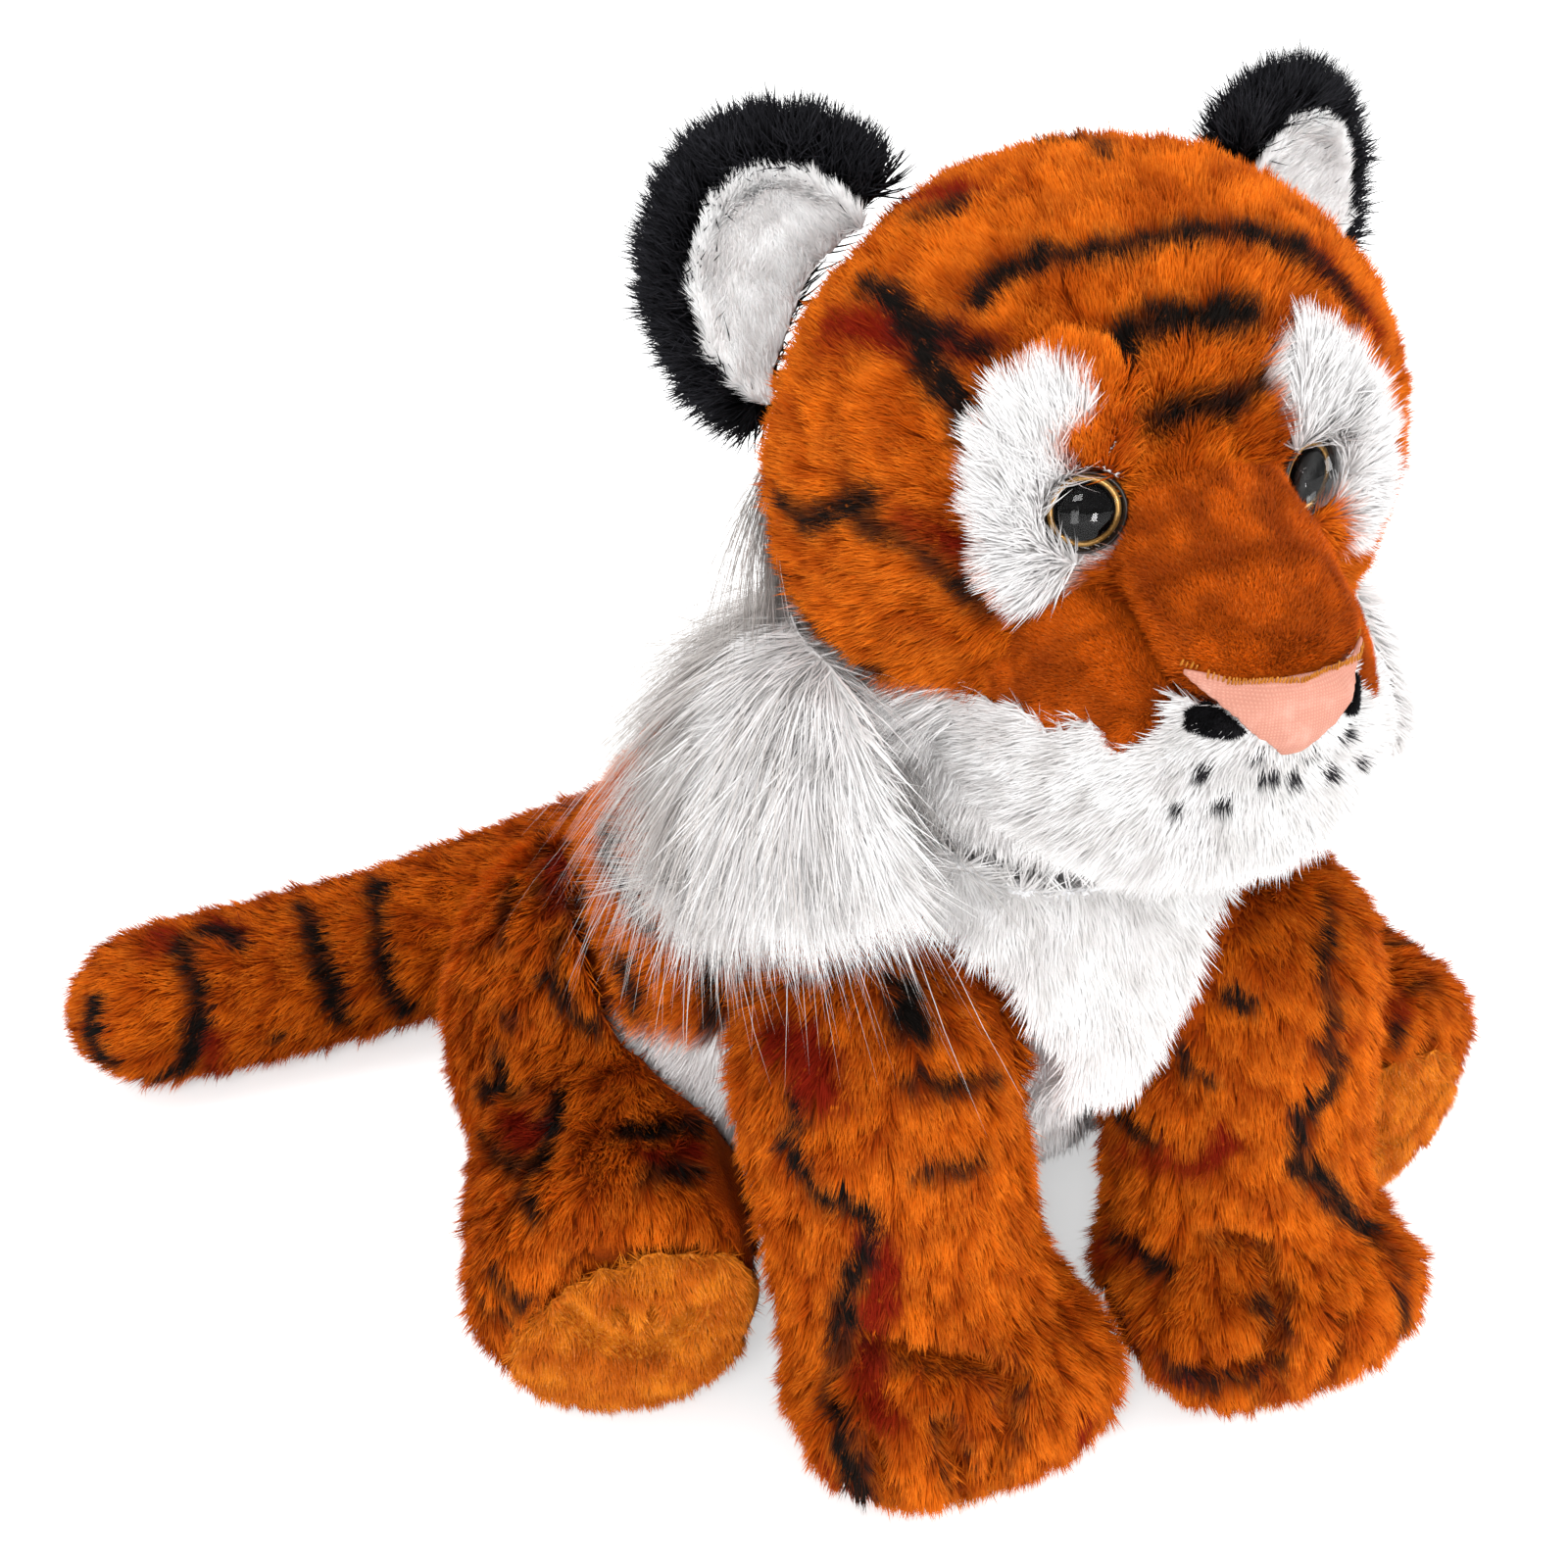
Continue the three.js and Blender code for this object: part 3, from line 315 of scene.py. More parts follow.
def relaxed(values, edges, times, hold=0.5):
    """Values at the vertices, each drawn towards the mean of its neighbours."""
    share = np.bincount(edges.ravel(), minlength=len(values)).astype(float)
    share[share == 0] = 1
    for _ in range(times):
        total = np.zeros_like(values)
        np.add.at(total, edges[:, 0], values[edges[:, 1]])
        np.add.at(total, edges[:, 1], values[edges[:, 0]])
        mean = total / (share[:, None] if values.ndim > 1 else share)
        values = values * hold + mean * (1 - hold)
    return values


def joined(nodes):
    """The CAD solids of these nodes in one bmesh, each closed again from its loose triangles."""
    bm = bmesh.new()
    for node in nodes:
        bm.from_mesh(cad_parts[node].data)
    bmesh.ops.remove_doubles(bm, verts=bm.verts, dist=SAME_POINT)
    return bm


def outer_island(mesh):
    """Keeps the part of a mesh that reaches widest, and drops what lies inside it."""
    bm = bmesh.new()
    bm.from_mesh(mesh)
    left, best, widest = set(bm.verts), [], -1.0
    while left:
        seed = left.pop()
        group, front = [seed], [seed]
        while front:
            for edge in front.pop().link_edges:
                for vert in edge.verts:
                    if vert in left:
                        left.discard(vert)
                        group.append(vert)
                        front.append(vert)
        corners = [Vector(map(pick, zip(*(v.co for v in group)))) for pick in (min, max)]
        size = (corners[1] - corners[0]).length
        if size > widest:
            best, widest = group, size
    keep = set(best)
    bmesh.ops.delete(bm, geom=[v for v in bm.verts if v not in keep], context="VERTS")
    emptied(bm, mesh)


def applied(thing):
    """The thing's mesh with its modifiers worked in, and the modifiers gone."""
    graph = bpy.context.evaluated_depsgraph_get()
    graph.update()
    found = thing.evaluated_get(graph)
    mesh = bpy.data.meshes.new_from_object(found, preserve_all_data_layers=True, depsgraph=graph)
    old = thing.data
    thing.modifiers.clear()
    thing.data = mesh
    bpy.data.meshes.remove(old)
    return thing


def stuffed(thing, swell, cap):
    """Air pressure in the sewn cover, for some frames, with no point moving further than the cap."""
    before, _ = rows(thing.data)
    cloth = thing.modifiers.new("stuffing", "CLOTH")
    cloth.settings.quality, cloth.settings.mass = 5, 0.3
    cloth.settings.tension_stiffness = cloth.settings.compression_stiffness = 12
    cloth.settings.use_pressure, cloth.settings.uniform_pressure_force = True, swell
    cloth.settings.effector_weights.gravity = 0
    cloth.collision_settings.use_collision = False
    for number in range(1, CLOTH_FRAMES + 1):
        scene.frame_set(number)
    applied(thing)
    scene.frame_set(1)
    after, _ = rows(thing.data)
    move = after - before
    far = np.linalg.norm(move, axis=1, keepdims=True)
    put_points(thing.data, before + move * np.minimum(1, cap / np.maximum(far, 1e-9)))


def skin(name, nodes, voxel, inset, material, smooth=3, swell=0.0, cap=0.003, rounds=1, lumps=0.0, dents=(),
         deep=0.003):
    """A sewn cover in the place of its CAD solids: closed, set in by its pile's depth, stuffed and smoothed.
    The filling under it makes lumps, and stitches through it pull dents along brush strokes."""
    thing = linked(name, emptied(joined(nodes), bpy.data.meshes.new(name)))
    remesh = thing.modifiers.new("even", "REMESH")
    remesh.mode, remesh.voxel_size = "VOXEL", voxel
    applied(thing)
    outer_island(thing.data)
    thing.data.update()
    points, normals = rows(thing.data)
    edges = edges_of(thing.data)
    normals = relaxed(normals, edges, 2)
    put_points(thing.data, relaxed(points - normals * inset, edges, smooth))
    if swell:
        stuffed(thing, swell, cap)
    if rounds:
        finer = thing.modifiers.new("finer", "SUBSURF")
        finer.levels = finer.render_levels = rounds
        applied(thing)
    points, normals = rows(thing.data)
    if lumps:
        swelling = ripple(points, 0.012, 5) + 0.5 * ripple(points, 0.006, 6)
        points = points + normals * (lumps * swelling)[:, None]
    if dents:
        depth = stroke_depth(points + normals * inset, dents, np.zeros(len(points)), 2.0)
        points = points - normals * (deep * depth)[:, None]
    put_points(thing.data, points)
    thing.data.materials.clear()
    thing.data.materials.append(material)
    thing.data.polygons.foreach_set("use_smooth", [True] * len(thing.data.polygons))
    thing.data.polygons.foreach_set("material_index", [0] * len(thing.data.polygons))
    return thing


def tree_of(nodes):
    """The CAD solids of these nodes as one tree of faces, with the node that each face is from."""
    points, faces, owners = [], [], []
    for node in nodes:
        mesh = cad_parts[node].data
        first = len(points)
        points += [v.co.copy() for v in mesh.vertices]
        faces += [tuple(first + i for i in p.vertices) for p in mesh.polygons]
        owners += [node] * len(mesh.polygons)
    return BVHTree.FromPolygons(points, faces), owners


HIDDEN = ("filling", "pellet", "washer", "iris", "pupil")
OUTSIDE = [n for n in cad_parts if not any(word in n for word in HIDDEN)]
outside, _ = tree_of(OUTSIDE)


def open_share(points, normals, gap, reach):
    """1 where a vertex looks out freely and 0 where another solid covers it."""
    found = []
    for point, normal in zip(points, normals):
        start = Vector(point) + Vector(normal) * gap
        hit = outside.ray_cast(start, Vector(normal), reach)
        found.append(0.0 if hit[0] is not None else 1.0)
    return np.array(found)


def seen_at(x, y):
    """The place on the CAD solids, in millimetres, that the camera sees at this position in the photo."""
    way = CAMERA_AIM @ Vector((x - PHOTO_SIDE / 2, PHOTO_SIDE / 2 - y, -PHOTO_SIDE * LENS / SENSOR))
    return outside.ray_cast(CAMERA_PLACE, way.normalized())[0] / MM


def share_of(thing, points, nodes, wanted):
    """1 where a cover follows one of the wanted nodes and 0 where it follows others, soft at the seams."""
    tree, owners = tree_of(nodes)
    found = [owners[tree.find_nearest(Vector(p))[2]] in wanted for p in points]
    return relaxed(np.array(found, float), edges_of(thing.data), 2)


def ripple(points, size, seed):
    """Smooth noise from -1 to 1 at each point, in tufts of about this size."""
    offset = Vector((seed * 7.3, seed * 3.1, seed * 5.7))
    return np.array([noise.noise(Vector(p) / size + offset) for p in points])


def stroke_depth(points, strokes, wobble, edge=1.4, wider=0.0):
    """How deep each vertex lies in the brush strokes: 0 outside, 1 inside, and an edge in millimetres."""
    depth = np.zeros(len(points))
    mm = points / MM
    for width, line in strokes:
        line = np.array([seen_at(*place) if len(place) == 2 else place for place in line], float)
        pairs = list(zip(line[:-1], line[1:])) or [(line[0], line[0] + 0.01)]
        near = np.full(len(mm), 1e9)
        for a, b in pairs:
            along = np.clip(((mm - a) @ (b - a)) / max(((b - a) ** 2).sum(), 1e-9), 0, 1)
            near = np.minimum(near, np.linalg.norm(mm - a - along[:, None] * (b - a), axis=1))
        near += wobble * width * 0.35
        half = width / 2 + wider
        depth = np.maximum(depth, np.clip((half + edge - near) / (2 * edge), 0, 1))
    return depth * depth * (3 - 2 * depth)


def set_values(mesh, name, values):
    vector = values.ndim > 1
    layer = mesh.attributes.new(name, "FLOAT_VECTOR" if vector else "FLOAT", "POINT")
    flat = np.ascontiguousarray(values, dtype=np.float32).ravel()
    layer.data.foreach_set("vector" if vector else "value", flat)


def tangent(field, normals):
    """A field laid along the surface, at unit length."""
    flat = field - normals * (field * normals).sum(1, keepdims=True)
    return flat / np.maximum(np.linalg.norm(flat, axis=1, keepdims=True), SMALL)


# Pile

FLOOR_GAP = 0.0003
PRINTS = ("dark", "red", "white")
OWN_LAYERS = ("cover", "comb", "tall", "out", "lay", *PRINTS)


class Weave(Net):
    """A Geometry Nodes tree with an input of each of these names and kinds; Finish is one of them."""

    def __init__(self, name, **inputs):
        self.tree = bpy.data.node_groups.new(name, "GeometryNodeTree")
        self.tree.is_modifier = True
        super().__init__(self.tree)
        socket = self.tree.interface.new_socket
        socket("Geometry", in_out="OUTPUT", socket_type="NodeSocketGeometry")
        self.inputs = {key: socket(key, in_out="INPUT", socket_type="NodeSocket" + kind).identifier
                       for key, kind in {"Geometry": "Geometry", **inputs}.items()}
        self.entry, self.exit = self.nodes.new("NodeGroupInput"), self.nodes.new("NodeGroupOutput")

    def given(self, name):
        return Tone(self, self.entry.outputs[name])

    def vector(self, operation, *values):
        return self.node("ShaderNodeVectorMath", {"operation": operation}, dict(enumerate(values)))

    def scaled(self, vector, factor):
        return self.node("ShaderNodeVectorMath", {"operation": "SCALE"}, {0: vector, "Scale": factor})

    def read(self, name, kind="FLOAT"):
        return self.node("GeometryNodeInputNamedAttribute", {"data_type": kind}, {"Name": name})

    def store(self, geometry, name, value, kind="FLOAT"):
        return self.node("GeometryNodeStoreNamedAttribute", {"data_type": kind, "domain": "POINT"},
                         {"Geometry": geometry, "Name": name, "Value": value})

    def random(self, low, high, seed):
        values = {2: low, 3: high, "Seed": seed}
        return self.node("FunctionNodeRandomValue", {"data_type": "FLOAT"}, values, 1)

    def any_way(self, reach, seed):
        """A random vector, each part of it up to this reach either way."""
        values = {0: tuple(-part for part in reach), 1: reach, "Seed": seed}
        return self.node("FunctionNodeRandomValue", {"data_type": "FLOAT_VECTOR"}, values)

    def laid(self, shape, points, turn, size):
        """A real copy of the shape on each point."""
        shape = self.node("GeometryNodeObjectInfo", values={"Object": shape}, out="Geometry")
        copies = self.node("GeometryNodeInstanceOnPoints", values={
            "Points": points, "Instance": shape, "Rotation": turn, "Scale": size})
        return self.node("GeometryNodeRealizeInstances", values={"Geometry": copies})

    def give(self, geometry):
        finish = self.given("Finish")
        result = self.node("GeometryNodeSetMaterial", values={"Geometry": geometry, "Material": finish})
        self.links.new(result.socket, self.exit.inputs[0])

    def work(self, thing, values):
        """Runs the tree on a thing with these inputs, and leaves it a plain mesh."""
        modifier = thing.modifiers.new(self.tree.name, "NODES")
        modifier.node_group = self.tree
        for key, value in values.items():
            modifier[self.inputs[key]] = value
        applied(thing)


def pile_tree():
    """Strands scattered over a cover, leaning along its comb, tousled in tufts and cut to a noisy length."""
    measures = ("Density", "Length", "Width", "Lean", "Tousle", "Tuft", "Clump", "Stray")
    w = Weave("pile", **dict.fromkeys(measures, "Float"), Seed="Int", Strand="Object", Finish="Material")
    middle, every_way = (0.5, 0.5, 0.5), (1, 1, 1)
    density = w.given("Density") * w.read("cover")
    scatter = w.node("GeometryNodeDistributePointsOnFaces", {"distribute_method": "RANDOM"}, {
        "Mesh": w.given("Geometry"), "Density": density, "Seed": w.given("Seed")})
    points = w.store(scatter, "out", scatter.beside("Normal"), "FLOAT_VECTOR")
    out = w.read("out", "FLOAT_VECTOR")
    place = w.node("GeometryNodeInputPosition")
    per_tuft = w.math("DIVIDE", 1.0, w.given("Tuft"))
    tufts = w.node("ShaderNodeTexNoise", values={"Vector": place, "Scale": per_tuft, "Detail": 2.0}, out=1)
    tousle = w.scaled(w.vector("SUBTRACT", tufts, middle), w.given("Tousle"))
    stray = w.scaled(w.any_way(every_way, w.given("Seed")), w.given("Stray"))
    sway = w.node("ShaderNodeTexNoise", values={"Vector": place, "Scale": per_tuft, "Detail": 1.0}, out=1)
    swayed = w.vector("ADD", place, w.scaled(w.vector("SUBTRACT", sway, middle), w.given("Tuft") * 1.6))
    cell = w.node("ShaderNodeTexVoronoi", values={"Vector": swayed, "Scale": per_tuft}, out="Position")
    gather = w.scaled(w.vector("SUBTRACT", cell, swayed), w.given("Clump") * per_tuft)
    gather = w.vector("SUBTRACT", gather, w.vector("PROJECT", gather, out))
    way = w.scaled(out, w.math("SUBTRACT", 1.0, w.given("Lean")))
    for pull in (w.scaled(w.read("comb", "FLOAT_VECTOR"), w.given("Lean")), tousle, gather, stray):
        way = w.vector("ADD", way, pull)
    way = w.vector("NORMALIZE", way)
    lift = w.node("ShaderNodeTexNoise", values={"Vector": place, "Scale": per_tuft * 1.7, "Detail": 1.0})
    length = w.given("Length") * w.read("tall") * (lift * 0.7 + 0.65) * w.random(0.7, 1.1, 5)
    soft = w.vector("NORMALIZE", w.vector("ADD", w.scaled(out, 0.75), w.scaled(way, 0.45)))
    points = w.store(points, "lay", soft, "FLOAT_VECTOR")
    # Each strand's distance from its tuft's centre, which the finishes turn into painted shade in the
    # partings
    points = w.store(points, "shade", cell.beside("Distance") * 1.35)
    turn = w.node("FunctionNodeAlignRotationToVector", {"axis": "Z"}, {"Vector": way})
    turn = w.node("FunctionNodeAlignRotationToVector", {"axis": "Y", "pivot_axis": "Z"}, {
        "Rotation": turn, "Vector": w.vector("ADD", out, w.scaled(w.any_way(every_way, 9), 0.5))})
    size = w.node("ShaderNodeCombineXYZ", values={0: w.given("Width"), 1: length, 2: length})
    hair, lay = w.laid(w.given("Strand"), points, turn, size), w.read("lay", "FLOAT_VECTOR")
    w.give(w.node("GeometryNodeSetMeshNormal", {"mode": "FREE", "domain": "POINT"}, {
        "Mesh": hair, "Custom Normal": lay}))
    return w


def strand_shape(name, steps, bend=0.0, tip=0.0):
    """One hair of unit height, flat, tapering to its tip and bending over; rise runs from root to tip."""
    points, faces, rise = [], [], []
    for i in range(steps):
        t = i / steps
        half = 0.5 * (1 - t * (1 - tip)) if steps > 1 else 0.5
        points += [(-half, -bend * t * t, t), (half, -bend * t * t, t)]
        rise += [t, t]
        if i:
            b = 2 * i
            faces.append((b - 2, b - 1, b + 1, b))
    points.append((0, -bend, 1))
    rise.append(1.0)
    faces.append((2 * steps - 2, 2 * steps - 1, 2 * steps))
    mesh = bpy.data.meshes.new(name)
    mesh.from_pydata(points, [], faces)
    set_values(mesh, "rise", np.array(rise))
    return linked(name, mesh)


PILE = pile_tree()
NEEDLE = strand_shape("needle", 1)
CURL = strand_shape("curl", 2, 0.22, 0.4)
LOCK = strand_shape("lock", 5, 0.28, 0.35)


def pile(name, cover, body, strands, seed, finish, slot, length, width, lean=0.55, tousle=0.8, tuft=0.007,
         clump=0.35, stray=0.2, strand=NEEDLE, values=PRINTS, keep=None):
    """The pile of a cover as a plain mesh of hairs, on the body that the cover rides on."""
    carrier = linked(name, cover.data.copy())
    mesh = carrier.data
    open_to = np.empty(len(mesh.vertices), np.float32)
    mesh.attributes["cover"].data.foreach_get("value", open_to)
    if keep is not None:
        open_to = open_to * keep
        mesh.attributes["cover"].data.foreach_set("value", open_to.astype(np.float32))
    area = sum(face.area * float(np.mean([open_to[i] for i in face.vertices])) for face in mesh.polygons)
    PILE.work(carrier, {
        "Density": strands / max(area, SMALL), "Length": length, "Width": width, "Lean": lean,
        "Tousle": tousle, "Tuft": tuft, "Clump": clump, "Stray": stray, "Seed": seed, "Strand": strand,
        "Finish": finish})
    mesh = carrier.data
    points, _ = rows(mesh)
    points[:, 2] = np.maximum(points[:, 2], FLOOR_GAP)
    put_points(mesh, points)
    for layer in [a.name for a in mesh.attributes]:
        if layer in OWN_LAYERS and layer not in values:
            mesh.attributes.remove(mesh.attributes[layer])
    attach(carrier, body)


# Brush strokes, each as (width in millimetres, points). A point is its position in the photo, x and y, or x,
# y and z in millimetres where the camera doesn't see it. The stripes come first.

STRIPES = {
    "head dark": [
        (4, [(1012, 314), (1038, 286), (1082, 272), (1131, 268), (1187, 258), (1240, 246), (1295, 251),
            (1322, 271)]), (5, [(1146, 377), (1161, 350), (1198, 339), (1242, 338), (1280, 331)]),
        (3.5, [(1192, 440), (1224, 430), (1260, 425), (1293, 398)]),
        (3, [(924, 320), (960, 343), (997, 363), (1021, 372)]),
        (4.5, [(912, 306), (937, 336), (961, 378), (979, 410), (1001, 442)]),
        (4, [(804, 518), (836, 537), (875, 523), (909, 514)]),
        (3, [(893, 539), (936, 555), (984, 587), (1024, 622)]),
        (3, [(807, 600), (834, 639), (871, 668), (911, 684)]), (2.5, [(941, 226), (969, 220), (996, 206)]),
        (2, [(-7, -95, 283), (1109, 139)]), (2, [(1, -102, 284), (1135, 165)]),
        (2.5, [(1290, 252), (1330, 262), (1362, 296), (1384, 334)]), (3, [(885, 296), (927, 312)]),
        (4, [(57, -116, 229), (60, -102, 236), (56, -88, 246)]), (4, [(52, -128, 216), (60, -110, 212)]),
    ],
    "head red": [
        (8, [(853, 340), (918, 342), (973, 360), (1013, 371)]),
        (6, [(922, 520), (970, 546), (1014, 574), (1039, 596)]),
        (7, [(-31, -89, 273), (960, 199), (988, 202)]), (5, [(1351, 279), (1382, 321), (1401, 356)]),
        (7, [(53, -120, 240), (58, -106, 244)]), (6, [(50, -130, 222), (57, -118, 220)]),
    ],
    "trunk dark": [
        (3, [(631, 861), (652, 916), (673, 935)]), (2.5, [(634, 972), (651, 1004)]),
        (3, [(-72, -20, 132), (-74, -30, 122), (-80, -38, 108)]),
        (1.8, [(727, 968), (729, 1054), (736, 1110)]),
        (3.5, [(624, 835), (630, 870), (646, 903), (668, 934)]), (3, [(643, 977), (650, 1020)]),
        (3, [(691, 1099), (721, 1113)]), (3.5, [(696, 917), (712, 944), (733, 966)]),
    ],
    "trunk red": [
        (5, [(674, 872), (698, 920), (712, 964)]), (5, [(-74, -28, 124), (-78, -40, 112)]),
        (8, [(668, 886), (691, 902)]),
    ],
    "front_leg_right dark": [
        (3.6, [(801, 1146), (816, 1176), (829, 1203), (855, 1215), (884, 1230), (894, 1250)]),
        (3.2, [(878, 1269), (860, 1308), (857, 1356), (858, 1395), (852, 1434)]),
        (4.6, [(856, 1433), (864, 1482), (880, 1526)]), (1.8, [(937, 1187), (965, 1180), (998, 1176)]),
        (1.8, [(932, 1090), (971, 1096), (1016, 1084)]), (5, [(916, 993), (922, 1014), (936, 1043)]),
        (2.5, [(1031, 1396), (1040, 1418)]), (2.5, [(968, 1443), (975, 1485), (986, 1518)]),
        (2.5, [(809, 1104), (812, 1134)]), (2.2, [(861, 1428), (872, 1491), (-64, -160, 14)]),
    ],
    "front_leg_right red": [
        (11, [(798, 1044), (828, 1063), (835, 1103)]),
        (9, [(883, 1245), (900, 1278), (890, 1337), (890, 1394), (903, 1432)]),
        (6, [(-71, -146, 22), (-69, -152, 14)]), (7, [(1115, 1447), (-14, -160, 16)]),
    ],
    "front_leg_left dark": [
        (2.5, [(1203, 1079), (1232, 1088)]), (3, [(1255, 1003), (1273, 1009)]),
        (3, [(1142, 1129), (1171, 1151)]),
        (4, [(1325, 1145), (1324, 1174), (1344, 1189), (1369, 1220), (1390, 1250)]),
        (3, [(1351, 1102), (1332, 1121), (1325, 1145)]),
        (2, [(1348, 907), (1348, 957), (1355, 1013), (1351, 1054), (1367, 1094)]),
        (2, [(1407, 1266), (1429, 1307), (1435, 1344)]), (3, [(1140, 1249), (1173, 1267), (1196, 1288)]),
        (3, [(1282, 1317), (1304, 1346), (1300, 1385), (1271, 1403), (1239, 1407)]),
        (2.2, [(1187, 1377), (1205, 1403), (1232, 1412)]),
    ],
    "front_leg_left red": [
        (7, [(17, -104, 57), (1178, 1170), (1224, 1177), (1247, 1156)]), (7, [(1123, 1263), (1163, 1269)]),
        (5, [(1188, 1393), (1214, 1411)]), (6, [(1381, 1044)]),
    ],
    "hind_leg_right dark": [
        (4, [(492, 1103), (523, 1102), (538, 1092)]), (3, [(-118, -50, 57), (514, 1171), (543, 1184)]),
        (4, [(567, 1102), (565, 1146), (554, 1172)]),
        (3.5, [(554, 985), (572, 1011), (587, 1029), (609, 1039)]), (3, [(583, 905), (578, 944), (562, 976)]),
        (2, [(508, 1020), (518, 1038)]), (4, [(639, 1145), (667, 1145), (717, 1140)]),
        (4, [(658, 1188), (690, 1182), (717, 1187)]), (3, [(492, 1283), (521, 1324), (536, 1313)]),
        (3, [(484, 1314), (511, 1342)]), (4, [(544, 1417), (594, 1426)]), (3, [(534, 1204), (545, 1230)]),
        (3, [(-85, 1, 100), (553, 903)]), (3, [(526, 892), (512, 946)]), (3.5, [(502, 1061), (509, 1091)]),
    ],
    "hind_leg_right red": [
        (10, [(519, 1133), (540, 1142)]), (6, [(667, 1167), (712, 1165)]), (7, [(569, 862), (566, 917)]),
    ],
    "hind_leg_left dark": [
        (3, [(92, -104, 80), (1461, 992)]), (4, [(98, -70, 84), (112, -74, 74)]),
        (3, [(1420, 1037), (1420, 1053)]), (2, [(1410, 952), (115, -82, 72)]),
    ],
    "hind_leg_left red": [
        (7, [(84, -108, 76), (1424, 1020)]), (6, [(104, -96, 70), (112, -90, 66)]),
    ],
    "tail dark": [
        (4, [(219, 947), (248, 952), (255, 962)]), (2.5, [(313, 919), (327, 938)]), (3, [(292, 1056)]),
        (4.5, [(196, 963), (213, 1008), (212, 1042), (199, 1083), (-180, 58, 11)]),
        (5, [(329, 947), (344, 997), (360, 1039)]), (4.5, [(392, 899), (396, 956), (406, 1010), (422, 1029)]),
        (6, [(103, 1021), (102, 1060), (115, 1086)]),
    ],
    "tail red": [
        (7, [(229, 938), (252, 951)]), (7, [(226, 1057), (-166, 61, 8)]), (6, [(176, 946), (165, 969)]),
    ],
}

# The way that the drawn side faces: bands stand in for the stripes of the sides that face away from it
DRAWN_SIDE = np.array([-0.32, -0.81, 0.49])


def printed(thing, body, along, spacing, seed, wider=1.3):
    """The stripes of a body's cover: strokes on the side that was drawn, and bands round the other sides."""
    points, normals = rows(thing.data)
    points = points + normals * 0.003
    wobble = ripple(points, 0.006, seed) + 0.6 * ripple(points, 0.0025, seed + 1)
    dark = stroke_depth(points, STRIPES[body + " dark"], wobble, wider=wider)
    red = stroke_depth(points, STRIPES[body + " red"], wobble, 2.6)
    away = ramp(-(normals @ DRAWN_SIDE), -0.02, 0.25)
    phase = along(points) / spacing + 0.55 * ripple(points, 0.032, seed + 2)
    band = np.abs(phase - np.floor(phase) - 0.5) * 2
    broken = np.clip((ripple(points, 0.022, seed + 3) + 0.25) * 3, 0, 1)
    depth = ramp(band + 0.12 * wobble, 0.72, 0.16) * broken
    dark = np.maximum(dark, depth * away)
    blush = np.clip((ripple(points, 0.02, seed + 4) - 0.28) * 5, 0, 1) * np.clip((band - 0.3) * 2, 0, 1)
    red = np.maximum(red, blush * away * 0.9)
    return dark, red


def marked(thing, comb, tall=1.0, dark=None, red=None, white=None, cover=None, gap=0.0048, reach=0.012):
    """Gives a cover what its pile needs: where it grows, how it lies, how long it is and its colours."""
    points, normals = rows(thing.data)
    edges = edges_of(thing.data)
    count = len(points)
    free = open_share(points, normals, gap, reach) if cover is None else cover
    set_values(thing.data, "cover", np.clip(relaxed(free, edges, 2), 0, 1))
    set_values(thing.data, "comb", tangent(comb(points), normals))
    set_values(thing.data, "tall", np.full(count, float(tall)) if np.isscalar(tall) else tall)
    for name, values in zip(PRINTS, (dark, red, white)):
        set_values(thing.data, name, np.zeros(count) if values is None else values)


def sewn(thing, body, nodes):
    """A cover moves with its body and stands for its CAD nodes, which are hidden."""
    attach(thing, body)
    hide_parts(*nodes)


def away_from(x, y, z, rise=0.0):
    centre = np.array([x, y, z]) * MM
    return lambda points: (points - centre) + np.array([0, 0, rise * MM])


def toward(x, y, z):
    return lambda points: np.tile(np.array([x, y, z], float), (len(points), 1))


# The dents that stitches and folds leave in the paws and feet
DENTS = {
    "front_leg_right": [
        (5, [(-47, -156, 37), (-46, -159, 27), (-43, -159, 17), (-41, -158, 9)]),
        (5, [(-31, -153, 43), (-33, -160, 28), (-36, -161, 21), (-35, -160, 10)]),
        (5, [(-61, -139, 50), (-48, -147, 47), (-36, -149, 44), (-29, -154, 41)]),
        (4, [(-62, -151, 33), (-61, -154, 22), (-59, -154, 12)]),
    ],
    "front_leg_left": [
        (5, [(36, -144, 48), (37, -152, 40), (33, -158, 30), (24, -158, 25), (15, -153, 26)]),
        (5, [(50, -155, 34), (49, -158, 24), (46, -158, 12)]),
        (4, [(32, -160, 20), (32, -160, 10)]), (4, [(20, -140, 52), (34, -144, 50), (52, -142, 50)]),
    ],
    "hind_leg_right": [
        (6, [(-104, -109, 61), (-98, -112, 56), (-92, -112, 54)]), (5, [(-112, -107, 60), (-86, -110, 58)]),
    ],
    "hind_leg_left": [(6, [(104, -109, 61), (98, -112, 56), (92, -112, 54)])],
    "hind_sole_right": [
        (6, [(-114, -106, 45), (-108, -107, 36), (-100, -108, 31), (-91, -110, 34), (-88, -112, 42)]),
        (3, [(-104, -109, 46), (-102, -110, 38)]), (3, [(-96, -110, 47), (-97, -110, 39)]),
    ],
    "hind_sole_left": [
        (5, [(114, -106, 45), (108, -107, 36), (100, -108, 31), (91, -110, 34), (88, -112, 42)]),
    ],
}

